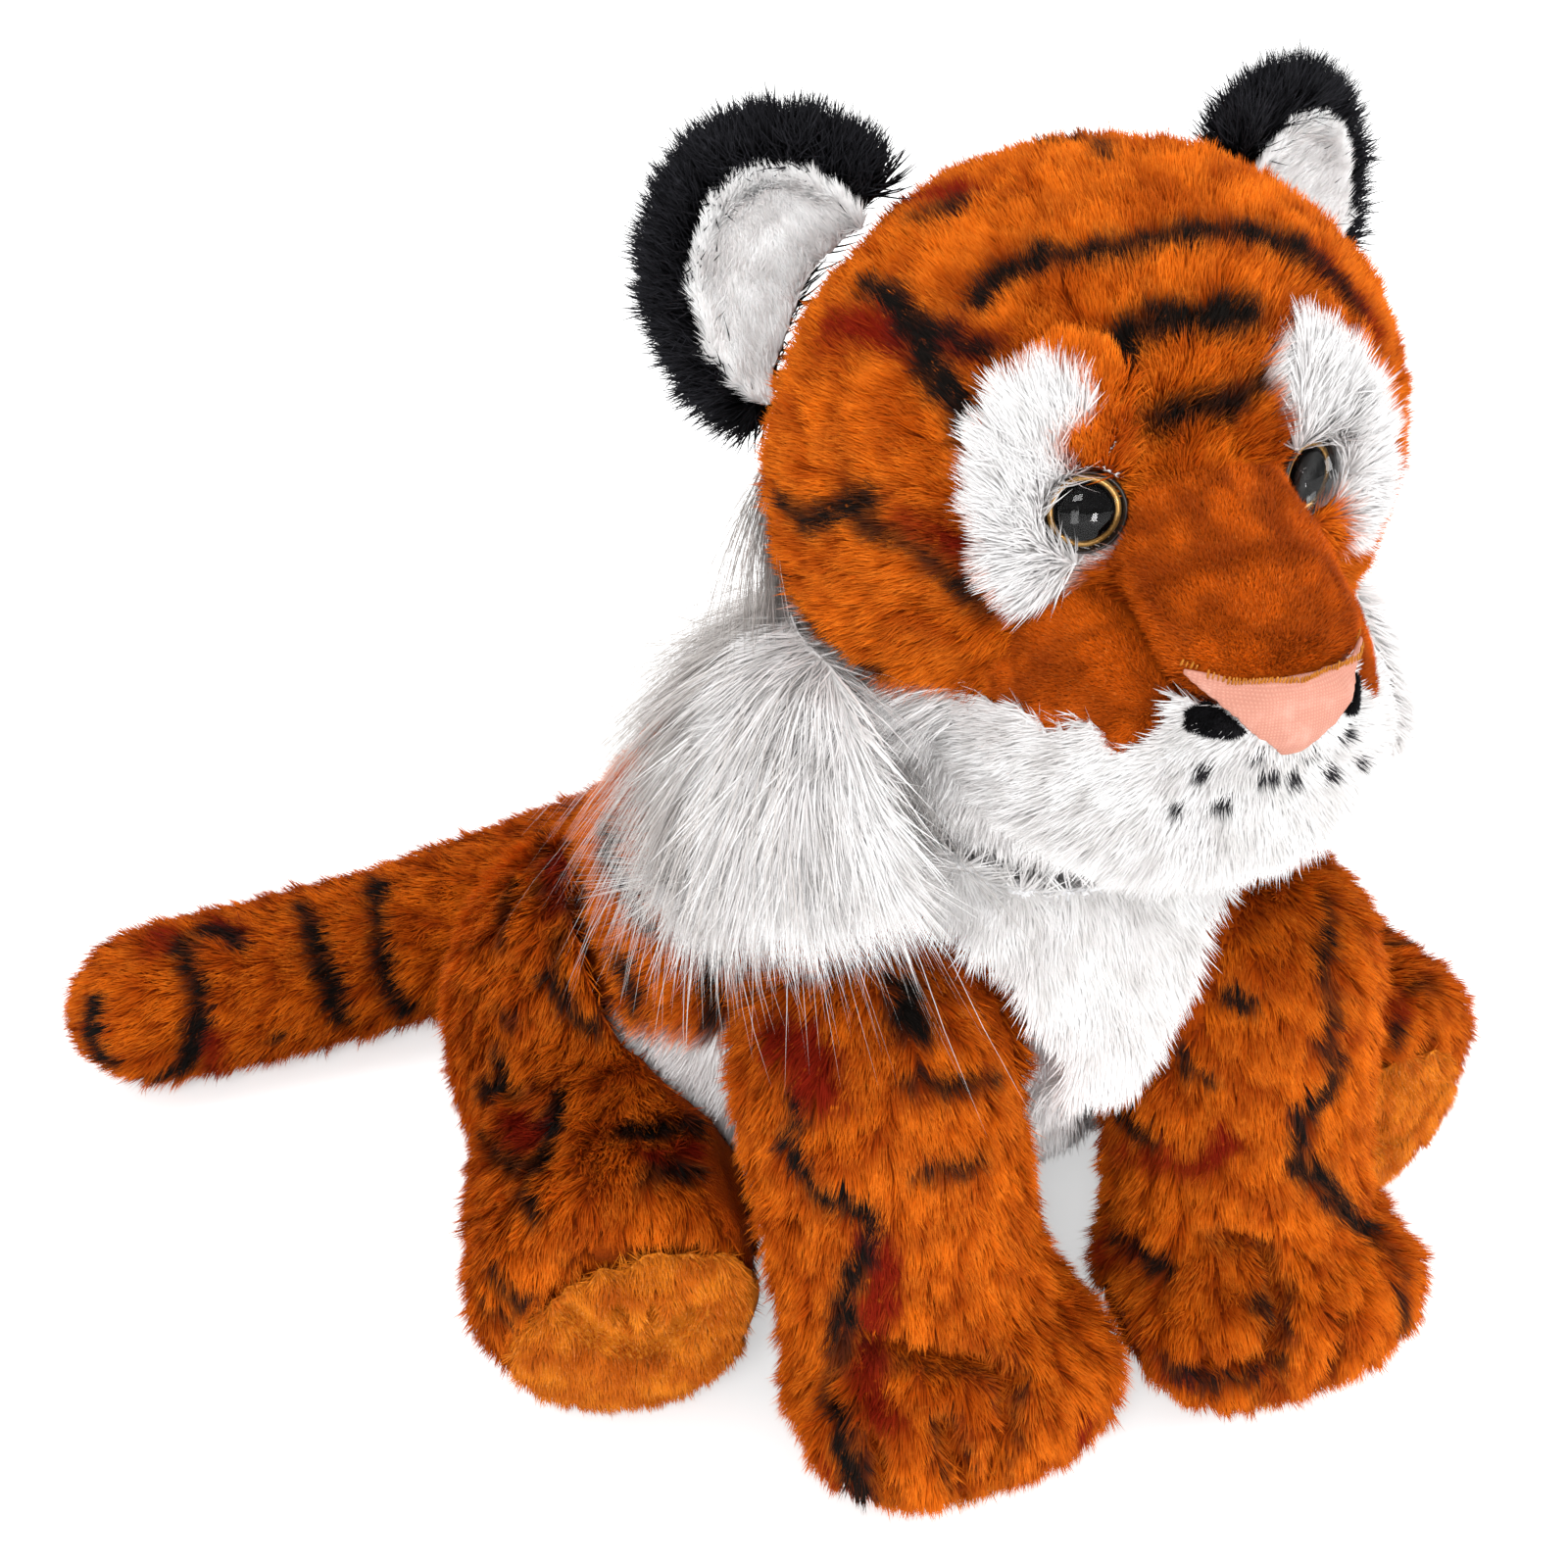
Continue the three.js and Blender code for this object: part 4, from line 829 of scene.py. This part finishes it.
# The painted white of the face and chest, and the printed dots
PATCH_WHITE = {
    "right": [
        (12, [(-30, -141, 249), (1044, 451), (1034, 494), (1047, 541), (1075, 595)]),
        (7, [(-30, -140, 251), (1091, 428)]), (12, [(-31, -143, 236), (-23, -146, 227)]),
    ],
    "left": [
        (13, [(1332, 382), (1354, 407), (1378, 441), (1388, 487), (1390, 522)]),
        (9, [(1315, 387), (1323, 408), (1338, 435)]),
    ],
}
CHEST_WHITE = [
    (34, [(-26, -112, 168), (-31, -114, 152), (989, 930)]),
    (34, [(26, -112, 168), (31, -114, 152), (30, -122, 138)]),
]
WHISKER_DOTS = [
    (2.2, [(1232, 783)]), (2.6, [(1252, 812)]), (1.8, [(1208, 818)]), (2.2, [(1288, 769)]),
    (2.6, [(1294, 782)]), (2.2, [(6, -178, 196)]), (2.4, [(1354, 781)]), (2, [(1369, 745)]),
    (1.8, [(1384, 776)]), (2, [(1318, 787)]), (1.6, [(-11, -174, 184)]), (2, [(8, -175, 186)]),
]

EYE_RADIUS = 7.6


def turned(name, seat, axis, profile, sides=48, ring=False):
    """A turned form round an axis, from radii and heights in millimetres. A ring closes on its first row."""
    turn = Vector(axis).to_track_quat("Z", "Y")
    points, faces, outwards = [], [], []
    for radius, height in profile:
        for i in range(sides):
            angle = 2 * math.pi * i / sides
            spoke = Vector((radius * math.cos(angle), radius * math.sin(angle), height))
            points.append(seat + turn @ spoke * MM)
            outwards.append(radius / EYE_RADIUS)
    last = len(profile) if ring else len(profile) - 1
    for row in range(last):
        for i in range(sides):
            a, b = row * sides, (row + 1) % len(profile) * sides
            j = (i + 1) % sides
            faces.append((a + i, a + j, b + j, b + i))
    if not ring:
        faces += [tuple(range(sides))[::-1], tuple((len(profile) - 1) * sides + i for i in range(sides))]
    mesh = bpy.data.meshes.new(name)
    mesh.from_pydata(points, [], faces)
    bm = bmesh.new()
    bm.from_mesh(mesh)
    bmesh.ops.recalc_face_normals(bm, faces=bm.faces)
    emptied(bm, mesh)
    mesh.polygons.foreach_set("use_smooth", [len(p.vertices) == 4 for p in mesh.polygons])
    set_values(mesh, "out_from_axis", np.array(outwards))
    return linked(name, mesh)


def stitched(name, line, body, finish, seed):
    """A row of satin stitches laid over an edge by Geometry Nodes, as one plain mesh."""
    w = Weave("stitches", Stitch="Object", Finish="Material", Seed="Int")
    points = w.node("GeometryNodeMeshToPoints", values={"Mesh": w.given("Geometry"), "Radius": 0.0005})
    lean, size = w.any_way((0.25, 0.25, 0.2), w.given("Seed")), w.random(0.5, 0.8, 4)
    w.give(w.laid(w.given("Stitch"), points, lean, size))
    stitch = turned(name + "_one", Vector((0, 0, 0)), (0, -0.25, 1), [
        (0.05, -1.3), (0.22, -1.1), (0.32, -0.5), (0.33, 0.3), (0.26, 1.0), (0.06, 1.25)], 7)
    mesh = bpy.data.meshes.new(name)
    mesh.from_pydata([tuple(p) for p in line], [], [])
    thing = linked(name, mesh)
    w.work(thing, {"Stitch": stitch, "Finish": finish, "Seed": seed})
    bpy.data.objects.remove(stitch)
    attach(thing, body)


# Lights

place_camera()
for lamp in LAMPS:
    softbox(*lamp)

# Finishes of this toy: the pile's, and the hide's that shows between its strands. Most hides are darker than
# their piles: painted shade between the strands.

ORANGE = plush_finish("tiger_pile", "#d8640a", "#b04806", "#ee8828", root="#742806")
ORANGE_HIDE = plush_finish("tiger_hide", "#c8560a", "#a03f05", "#e07018", root="#8a3406", strands=False)
WHITE = white_finish("white_pile", "#f5f4f4", "#e6e4e3", root="#cdcac8")
WHITE_HIDE = white_finish("white_hide", "#efeeee", "#dddbda", strands=False)
LINING = white_finish("lining_pile", "#ffffff", "#fafafa", root="#f2f0f0")
SPOTTED = white_finish("spotted_pile", "#ebeaea", "#d9d7d6", dots=True, root="#c3c0be")
SPOTTED_HIDE = white_finish("spotted_hide", "#f2f2f3", "#e2e0e0", strands=False, dots=True)
RUFF_HAIR = white_finish("ruff_hair", "#d6d1ce", "#b9b3af", 0.5, root="#807974")
BLACK = plush_finish("black_pile", "#1d1d20", "#101012", "#3c3c42", "#060607", 0.55)
BLACK_HIDE = plush_finish("black_hide", "#101013", "#0a0a0c", "#1c1c20", "#050506", 0.8, False)
VELVET = velvet_finish("velvet_nap", "#cc5a08", "#b34a06", "#ea8030")
VELVET_HIDE = velvet_finish("velvet_cloth", "#b85008", "#a04206", "#cc6a20", strands=False)
SOLE = velvet_finish("sole_nap", "#e8871e", "#c4660f", "#ffb060", "#8a4a14")
SOLE_HIDE = velvet_finish("sole_cloth_finish", "#cc7418", "#a85a0e", "#e0954a", strands=False)
NOSE_CLOTH = woven_finish("nose_cloth", "#c88f7d", "#b87f6e", "#d29d8d")
FELT = plush_finish("black_felt_fuzz", "#1b1a1c", "#0f0f10", "#333236", "#080808", 0.9)
FELT_HIDE = plush_finish("black_felt_cloth", "#161517", "#0c0c0d", "#252427", "#080808", 0.9, False)
STITCHES = velvet_finish("gold_thread", "#b9752a", "#965614", "#d79c50", strands=False)

# Kinds of cover and of pile: lengths, widths and tufts in metres, the rest as shares

COVER = {"material": ORANGE_HIDE, "voxel": 0.0042, "swell": 4, "cap": 0.0022}
LARGE_COVER = {"material": ORANGE_HIDE, "voxel": 0.0052, "swell": 4, "cap": 0.0024}
PANEL = {"rounds": 0, "smooth": 2, "voxel": 0.0014, "inset": 0.0004, "material": WHITE_HIDE}
FUR = {"finish": ORANGE, "slot": "tiger_plush", "length": 0.0068, "width": 0.0006}
HEAD_FUR = {"finish": ORANGE, "slot": "tiger_plush", "length": 0.0056, "lean": 0.58, "clump": 0.3}
BARE = {"values": (), "slot": "white_plush"}
CHEST_FUR = {**BARE, "finish": WHITE, "width": 0.0005, "tousle": 0.45, "clump": 0.2, "tuft": 0.012}
CURLS = {**BARE, "tousle": 0.6, "tuft": 0.010, "strand": CURL}
LONG_HAIR = {**BARE, "finish": RUFF_HAIR, "width": 0.0003, "tuft": 0.014, "strand": LOCK}

# Trunk, with its white chest and belly panels
trunk_nodes = ("trunk_cover", "chest_panel", "belly_panel", "trunk_filling", "pellet_bag")
trunk = skin("trunk_skin", trunk_nodes[:4], inset=0.0022, lumps=0.0008, **LARGE_COVER)
points, normals = rows(trunk.data)
white = share_of(trunk, points, trunk_nodes[:3], ("chest_panel", "belly_panel"))
front = ramp(-points[:, 1], 0.085, 0.01)
white = np.maximum(white, front * stroke_depth(points, CHEST_WHITE, ripple(points, 0.006, 9) * 0.3))
dark, red = printed(trunk, "trunk", lambda p: p[:, 2] + 0.35 * p[:, 1], 0.027, 11)
high = ramp(points[:, 2], 0.150, 0.02) * ramp(points[:, 1], -0.05, 0.03)
marked(trunk, toward(0, 0.45, -1), 1.0 + 0.5 * high, dark * (1 - white), red * (1 - white), white)
sewn(trunk, "trunk", trunk_nodes)
right_half = (points[:, 0] < 0).astype(float)
orange_part = (white < 0.5).astype(float)
pile("trunk_pile_right", trunk, "trunk", 64000, seed=2, keep=orange_part * right_half, **FUR)
pile("trunk_pile_left", trunk, "trunk", 64000, seed=3, keep=orange_part * (1 - right_half), **FUR)
pile("chest_pile", trunk, "trunk", 80000, seed=4, length=0.0085, lean=0.75, keep=1 - orange_part, **CHEST_FUR)

# Head
head_nodes = ("head_cover", "throat", "head_filling")
head = skin("head_skin", head_nodes, inset=0.0018, lumps=0.0004, **COVER)
points, normals = rows(head.data)
throat = share_of(head, points, head_nodes[:2], ("throat",))
brows = PATCH_WHITE["right"] + PATCH_WHITE["left"]
brow = stroke_depth(points + normals * 0.002, brows, ripple(points, 0.005, 8) * 0.3, 1.0)
dark, red = printed(head, "head", lambda p: p[:, 1] + 0.3 * p[:, 2], 0.024, 21, 0.9)
white = np.maximum(throat, brow)
marked(head, away_from(0, -165, 215), 1.0 + 0.7 * throat, dark * (1 - white), red * (1 - white), white)
sewn(head, "head", head_nodes)
front_half = (points[:, 1] < -0.115).astype(float)
orange_part = (throat < 0.5).astype(float)
front_part, back_part = orange_part * front_half, orange_part * (1 - front_half)
pile("head_pile_front", head, "head", 104000, seed=5, width=0.00052, keep=front_part, **HEAD_FUR)
pile("head_pile_back", head, "head", 64000, seed=6, width=0.00056, keep=back_part, **HEAD_FUR)
pile("throat_pile", head, "head", 40000, seed=7, length=0.0085, lean=0.6, keep=1 - orange_part, **CHEST_FUR)

# Long hair behind the cheeks, from the head's side down over the ruff: the far side is brushed back
neck_axis = np.array([0, -0.093, 0])
far_side = (points[:, 0] > 0)[:, None]
grows = between(points[:, 2], 0.186, 0.232) & between(points[:, 1], -0.094, -0.035)
grows &= np.abs(points[:, 0]) > 0.040
flare = (points - neck_axis) * np.array([1, 1.6, 0]) * 9 + np.array([0, 0.35, -0.8])
flare = tangent(np.where(far_side, np.array([0.1, 1.0, -0.6]), flare), normals)
hairline = linked("hairline", head.data.copy())
hairline.data.attributes["comb"].data.foreach_set("vector", flare.astype(np.float32).ravel())
pile("head_side_hair", hairline, "head", 7000, seed=10, length=0.050, lean=0.8, tousle=0.5, clump=0.5,
     stray=0.16, keep=grows.astype(float), **LONG_HAIR)
bpy.data.objects.remove(hairline)

# Neck, out of sight under the ruff
neck_nodes = ("neck_sleeve", "neck_filling")
neck = skin("neck_skin", neck_nodes, voxel=0.003, inset=0.0004, material=WHITE_HIDE, rounds=0)
marked(neck, toward(0, 0, -1), gap=0.0008, reach=0.002)
sewn(neck, "neck", neck_nodes)
pile("neck_pile", neck, "neck", 14000, seed=12, finish=WHITE, length=0.006, width=0.0005, lean=0.6, clump=0.2,
     **BARE)

# Ruff of long hair: it grows on the outside and the top, is combed flat in front and stands out behind
ruff = skin("ruff_skin", ("ruff",), voxel=0.0025, inset=0.0012, material=WHITE_HIDE, rounds=0)
points, normals = rows(ruff.data)
radial = (points - neck_axis) * np.array([1, 1, 0])
outwards = (normals * radial).sum(1) / np.maximum(np.linalg.norm(radial, axis=1), 1e-6)
on_top = (normals[:, 2] > 0.15) * open_share(points, normals, 0.0035, 0.006)
facing = np.maximum(outwards > 0.1, on_top).astype(float)
fore = ramp(-points[:, 1], 0.095, 0.03)[:, None]
inwards = np.stack([-0.35 * np.sign(points[:, 0]), np.full(len(points), -0.7), np.full(len(points), -1.0)], 1)
sweep = (radial * 9 + np.array([0, 0, -1.0])) * (1 - fore) + inwards * fore
swept_back = radial * np.array([2, 9, 0]) + np.array([0, 0.5, -1.0])
sweep = np.where((points[:, 0] > 0)[:, None], swept_back, sweep)
marked(ruff, lambda p: sweep, 1.0, cover=facing)
sewn(ruff, "head", ("ruff",))
behind = ramp(points[:, 1], -0.112, 0.03)
near_front = ((behind < 0.9) & (points[:, 0] < -0.008)).astype(float)
upper = ramp(points[:, 2], 0.158, 0.02) * behind
in_front = (behind < 0.7).astype(float)
pile("ruff_front_pile", ruff, "head", 24000, seed=11, length=0.0120, lean=0.6, keep=in_front, **CHEST_FUR)
pile("ruff_soft_locks", ruff, "head", 16000, seed=13, finish=WHITE, length=0.028, width=0.00042, lean=0.78,
     clump=0.3, keep=near_front, **CURLS)
pile("ruff_under_hair", ruff, "head", 24000, seed=8, finish=RUFF_HAIR, length=0.024, width=0.0004, lean=0.84,
     clump=0.35, keep=behind, **CURLS)
pile("ruff_long_hair", ruff, "head", 14000, seed=9, length=0.053, lean=0.86, clump=0.35, stray=0.3,
     keep=upper, **LONG_HAIR)

# Muzzle and chin, white with dark whisker dots
for name, strands in (("muzzle", 52000), ("chin", 24000)):
    part = skin(name + "_skin", (name,), voxel=0.0016, inset=0.0006, material=SPOTTED_HIDE, rounds=0,
                lumps=0.0003)
    points, normals = rows(part.data)
    low = ramp(-points[:, 2], -0.190, 0.012) * ramp(points[:, 1], -0.185, 0.02)
    dots = stroke_depth(points + normals * 0.001, WHISKER_DOTS, ripple(points, 0.003, 3), 0.5, 0.5)
    marked(part, away_from(0, -180, 214, 6), 1.0 + 1.2 * low, dots, gap=0.0011, reach=0.005)
    sewn(part, "head", (name,))
    pile(name + "_pile", part, "head", strands, seed=31, finish=SPOTTED, slot="white_plush", length=0.0042,
         width=0.0004, lean=0.6, tousle=0.45, clump=0.2, values=("dark",))

# Velvet bridge and cheeks
CHEEK = {"voxel": 0.0011, "inset": -0.0004, "smooth": 8, "rounds": 0}
VELVET_PANELS = (
    ("bridge", "nose_bridge", 56000, {"voxel": 0.0022, "inset": 0.0004}),
    ("cheek_right", "cheek_right", 26000, CHEEK), ("cheek_left", "cheek_left", 26000, CHEEK),
)
for name, node, strands, cloth in VELVET_PANELS:
    part = skin(name + "_velvet", (node,), material=VELVET_HIDE, **cloth)
    marked(part, away_from(0, -182, 206, 4), gap=0.0012, reach=0.005)
    sewn(part, "head", (node,))
    pile(name + "_nap", part, "head", strands, seed=41, finish=VELVET, length=0.0019, width=0.0003, lean=0.5,
         tousle=0.35, tuft=0.010, clump=0.25, stray=0.3, values=(), slot="velvet")

# Nose, its golden stitched edge along a curve that rises to the sides, and the two felts under it
STITCH_COUNT, STITCH_STEP, EDGE_HEIGHT, EDGE_RISE = 60, 0.6 * MM, 0.2122, 6.2
nose = skin("nose_pad", ("nose",), voxel=0.0011, inset=0.0, material=NOSE_CLOTH, smooth=2)
sewn(nose, "head", ("nose",))
edge_line = []
for i in range(STITCH_COUNT):
    x = (i - (STITCH_COUNT - 1) / 2) * STITCH_STEP
    hit = outside.ray_cast(Vector((x, -0.25, EDGE_HEIGHT + EDGE_RISE * x * x)), Vector((0, 1, 0)), 0.2)
    if hit[0] is not None:
        edge_line.append(hit[0] + Vector((0, -0.0004, 0)))
stitched("nose_edge_stitches", edge_line, "head", STITCHES, 12)
for side in ("right", "left"):
    node = "nose_felt_" + side
    felt = skin(node + "_slip", (node,), voxel=0.0004, inset=0.0, material=FELT_HIDE, smooth=1, rounds=0)
    marked(felt, toward(0, 0.2, -1), cover=np.ones(len(felt.data.vertices)))
    sewn(felt, "head", (node,))
    pile(node + "_fuzz", felt, "head", 3000, seed=45, finish=FELT, slot="black_felt", length=0.0011,
         width=0.00022, lean=0.4, tousle=0.5, clump=0.2, stray=0.5)

# Eye patches
for side, sign in SIDES:
    node = "eye_patch_" + side
    patch = skin(node + "_skin", (node,), **PANEL)
    points, normals = rows(patch.data)
    outward = ((normals @ np.array([0.35 * sign, -1, 0.35])) > 0.25).astype(float)
    brow = stroke_depth(points, PATCH_WHITE[side], ripple(points, 0.005, 8) * 0.3, 1.0)
    marked(patch, away_from(22 * sign, -150, 226, 4), 0.6 + 0.4 * brow, white=brow, cover=outward)
    sewn(patch, "head", (node,))
    pile(node + "_pile", patch, "head", 12500, seed=51, finish=ORANGE, slot="white_plush", length=0.0080,
         width=0.00042, lean=0.66, tousle=0.6, clump=0.35, strand=CURL)

# Safety eyes: a dark rim on its ribbed post, a golden ring, a black pupil and a clear dome.
# Each profile is (radius, height) in millimetres, and the golden ring's closes on itself.
RIM = moulded_finish("eye_rim_plastic", "#17120f", "#2a211b", 0.3)
GOLD = moulded_finish("eye_gold_ring", "#b98743", "#d9ad6a", 0.22, 500, Metallic=0.6)
PUPIL = moulded_finish("eye_black_pupil", "#020202", "#060505", 0.4, gloss=0.0)
GLASS = dome_finish("eye_clear_dome")
WASHER = moulded_finish("washer_nylon", "#dcd8cf", "#f0ede6", 0.4)
EYE_SIDES = 56
RIBBED_POST = [
    (1.7, -14.8), (1.7, -13.8), (2.2, -13.3), (1.7, -12.8), (1.7, -10.8), (2.2, -10.3), (1.7, -9.8),
    (1.7, -1.8)]
EYE_PARTS = (
    ("dish", RIM, "eye_rim", [
        (0.1, -14.8), (1.6, -14.8), *RIBBED_POST, (7.2, -1.8), (EYE_RADIUS, -1.4), (EYE_RADIUS, 0.7),
        (7.4, 1.05), (7.15, 1.1), (6.95, 0.9), (6.9, -0.6), (0.1, -0.6)]),
    ("iris", GOLD, "eye_gold", [
        (5.45, -0.2), (6.5, -0.25), (6.55, 0.0), (6.4, 0.25), (5.6, 0.22), (5.45, 0.1)]),
    ("pupil", PUPIL, "eye_black", [
        (0.1, -0.25), (5.0, -0.25), (5.1, -0.1), (5.1, 0.15), (4.4, 0.4), (2.5, 0.52), (0.1, 0.56)]),
    ("dome", GLASS, "eye_clear", [
        (0.1, 0.9), (6.3, 0.9), (6.55, 1.1), (6.55, 1.9), (6.3, 2.8), (5.7, 3.6), (4.6, 4.35), (3.3, 4.85),
        (1.7, 5.18), (0.1, 5.3)]),
)
for side, _ in SIDES:
    ring, _ = rows(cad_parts["eye_iris_" + side].data)
    seat = ring.mean(0)
    normal = np.linalg.svd(ring - seat)[2][2]
    normal = normal * -np.sign(normal[1])
    for part, finish, slot, profile in EYE_PARTS:
        node = "eye_" + part + "_" + side
        piece = turned(node + "_turned", Vector(seat), normal, profile, EYE_SIDES, part == "iris")
        piece.data.materials.append(finish)
        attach(piece, "head")
        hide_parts(node)
    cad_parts["eye_washer_" + side].material_slots[0].material = WASHER

# Ears
for side, sign in SIDES:
    body, back_node, lining_node = "ear_" + side, "ear_back_" + side, "ear_lining_" + side
    back = skin("ear_back_skin_" + side, (back_node,), voxel=0.0022, inset=0.0012, material=BLACK_HIDE,
                rounds=0)
    marked(back, away_from(48 * sign, -85, 240, 4), gap=0.0018)
    sewn(back, body, (back_node,))
    pile("ear_back_pile_" + side, back, body, 18000, seed=61, finish=BLACK, slot="black_plush", length=0.0098,
         width=0.0005, lean=0.5, tousle=0.5, tuft=0.004, clump=0.3, stray=0.3, strand=CURL)
    lining = skin("ear_lining_skin_" + side, (lining_node,), **PANEL)
    marked(lining, toward(0.3 * sign, 0, 1), gap=0.0012)
    sewn(lining, body, (lining_node,))
    pile("ear_lining_pile_" + side, lining, body, 22000, seed=62, finish=LINING, length=0.0040, width=0.00045,
         lean=0.72, tousle=0.4, clump=0.3, **BARE)

# Legs and soles: the stripes' spacing and breadth, the strands of pile and of nap, and the way the pile lies
LEGS = {
    "front": {"spacing": 0.020, "wider": 1.3, "strands": 92000, "nap": 14000, "lies": (0.1, -0.35, -1)},
    "hind": {"spacing": 0.024, "wider": 0.5, "strands": 80000, "nap": 20000, "lies": (0.35, -0.8, -0.55)},
}
for part, kind in LEGS.items():
    for side, sign in SIDES:
        body, node = part + "_leg_" + side, part + "_sole_" + side
        nodes = (part + "_leg_cover_" + side, part + "_leg_filling_" + side)
        leg = skin(body + "_skin", nodes, inset=0.0020, lumps=0.0008, dents=DENTS[body], deep=0.007, **COVER)
        dark, red = printed(leg, body, lambda p: p[:, 2] - 0.3 * p[:, 1], kind["spacing"],
                            71 if side == "right" else 75, kind["wider"])
        points, normals = rows(leg.data)
        fold = stroke_depth(points + normals * 0.004, DENTS[body], np.zeros(len(points)), 2.0)
        across, along, down = kind["lies"]
        # The dents' creases get shorter pile, and painted shade added to the dark print
        marked(leg, toward(across * sign, along, down), 1.0 - 0.72 * fold, np.maximum(dark, fold * 0.62), red)
        sewn(leg, body, nodes)
        pile(body + "_pile", leg, body, kind["strands"], seed=81, lean=0.6, clump=0.4, stray=0.16, **FUR)
        creases = DENTS.get(node, ())
        sole = skin(node + "_skin", (node,), voxel=0.0024, inset=0.0004, material=SOLE_HIDE, dents=creases,
                    deep=0.0055)
        points, normals = rows(sole.data)
        fold = stroke_depth(points + normals * 0.003, creases, np.zeros(len(points)), 1.5)
        marked(sole, toward(0, -0.3, -1), 1.0 - 0.6 * fold)
        sewn(sole, body, (node,))
        pile(node + "_nap", sole, body, kind["nap"], seed=91, finish=SOLE, slot="sole_cloth", length=0.0042,
             width=0.0004, lean=0.5, values=())

# Tail
tail_nodes = ("tail_cover", "tail_filling")
tail = skin("tail_skin", tail_nodes, inset=0.0022, lumps=0.0008, **COVER)
dark, red = printed(tail, "tail", lambda p: p[:, 0], 0.027, 95)
marked(tail, toward(-1, 0.1, -0.15), 1.0, dark, red)
sewn(tail, "tail", tail_nodes)
pile("tail_pile", tail, "tail", 74000, seed=97, lean=0.62, **FUR)

for strand in (NEEDLE, CURL, LOCK):
    bpy.data.objects.remove(strand)


# Studio floor

def studio():
    """A white floor that keeps the toy's shadow, and an even pale surround."""
    bm = bmesh.new()
    bmesh.ops.create_grid(bm, x_segments=1, y_segments=1, size=6)
    floor = linked("floor", emptied(bm, bpy.data.meshes.new("floor")))
    f = Finish("paper_floor", Roughness=0.9, Specular_IOR_Level=0.1, Emission_Strength=0.5)
    f.shader.inputs["Base Color"].default_value = (0.8, 0.8, 0.8, 1)
    rays = f.node("ShaderNodeLightPath", out="Is Camera Ray")
    seen = f.math("MAXIMUM", rays, rays.beside("Is Glossy Ray"))
    seen = f.math("MAXIMUM", seen, rays.beside("Is Transmission Ray"))
    f.feed("Emission Color", f.mix(seen, (0, 0, 0, 1), (1, 1, 1, 1)))
    floor.data.materials.append(f.material)
    world = bpy.data.worlds.new("studio")
    scene.world = world
    world.use_nodes = True
    # Only the glossy rays that go to the camera's side meet a dark room; the backdrop and all else stay white
    w, background = Net(world.node_tree), world.node_tree.nodes["Background"]
    way = w.node("ShaderNodeSeparateXYZ", values={0: w.node("ShaderNodeTexCoord", out="Generated")}, out="Y")
    room = w.math("MULTIPLY", way, -3.0, clamp=True)
    room = w.math("MULTIPLY", room, w.node("ShaderNodeLightPath", out="Is Glossy Ray"), clamp=True)
    strength = w.math("SUBTRACT", 1.0, w.math("MULTIPLY", room, 0.88, clamp=True), clamp=True)
    w.links.new(strength.socket, background.inputs["Strength"])
    background.inputs["Color"].default_value = (1, 1, 1, 1)


studio()
scene.view_settings.view_transform = "Standard"
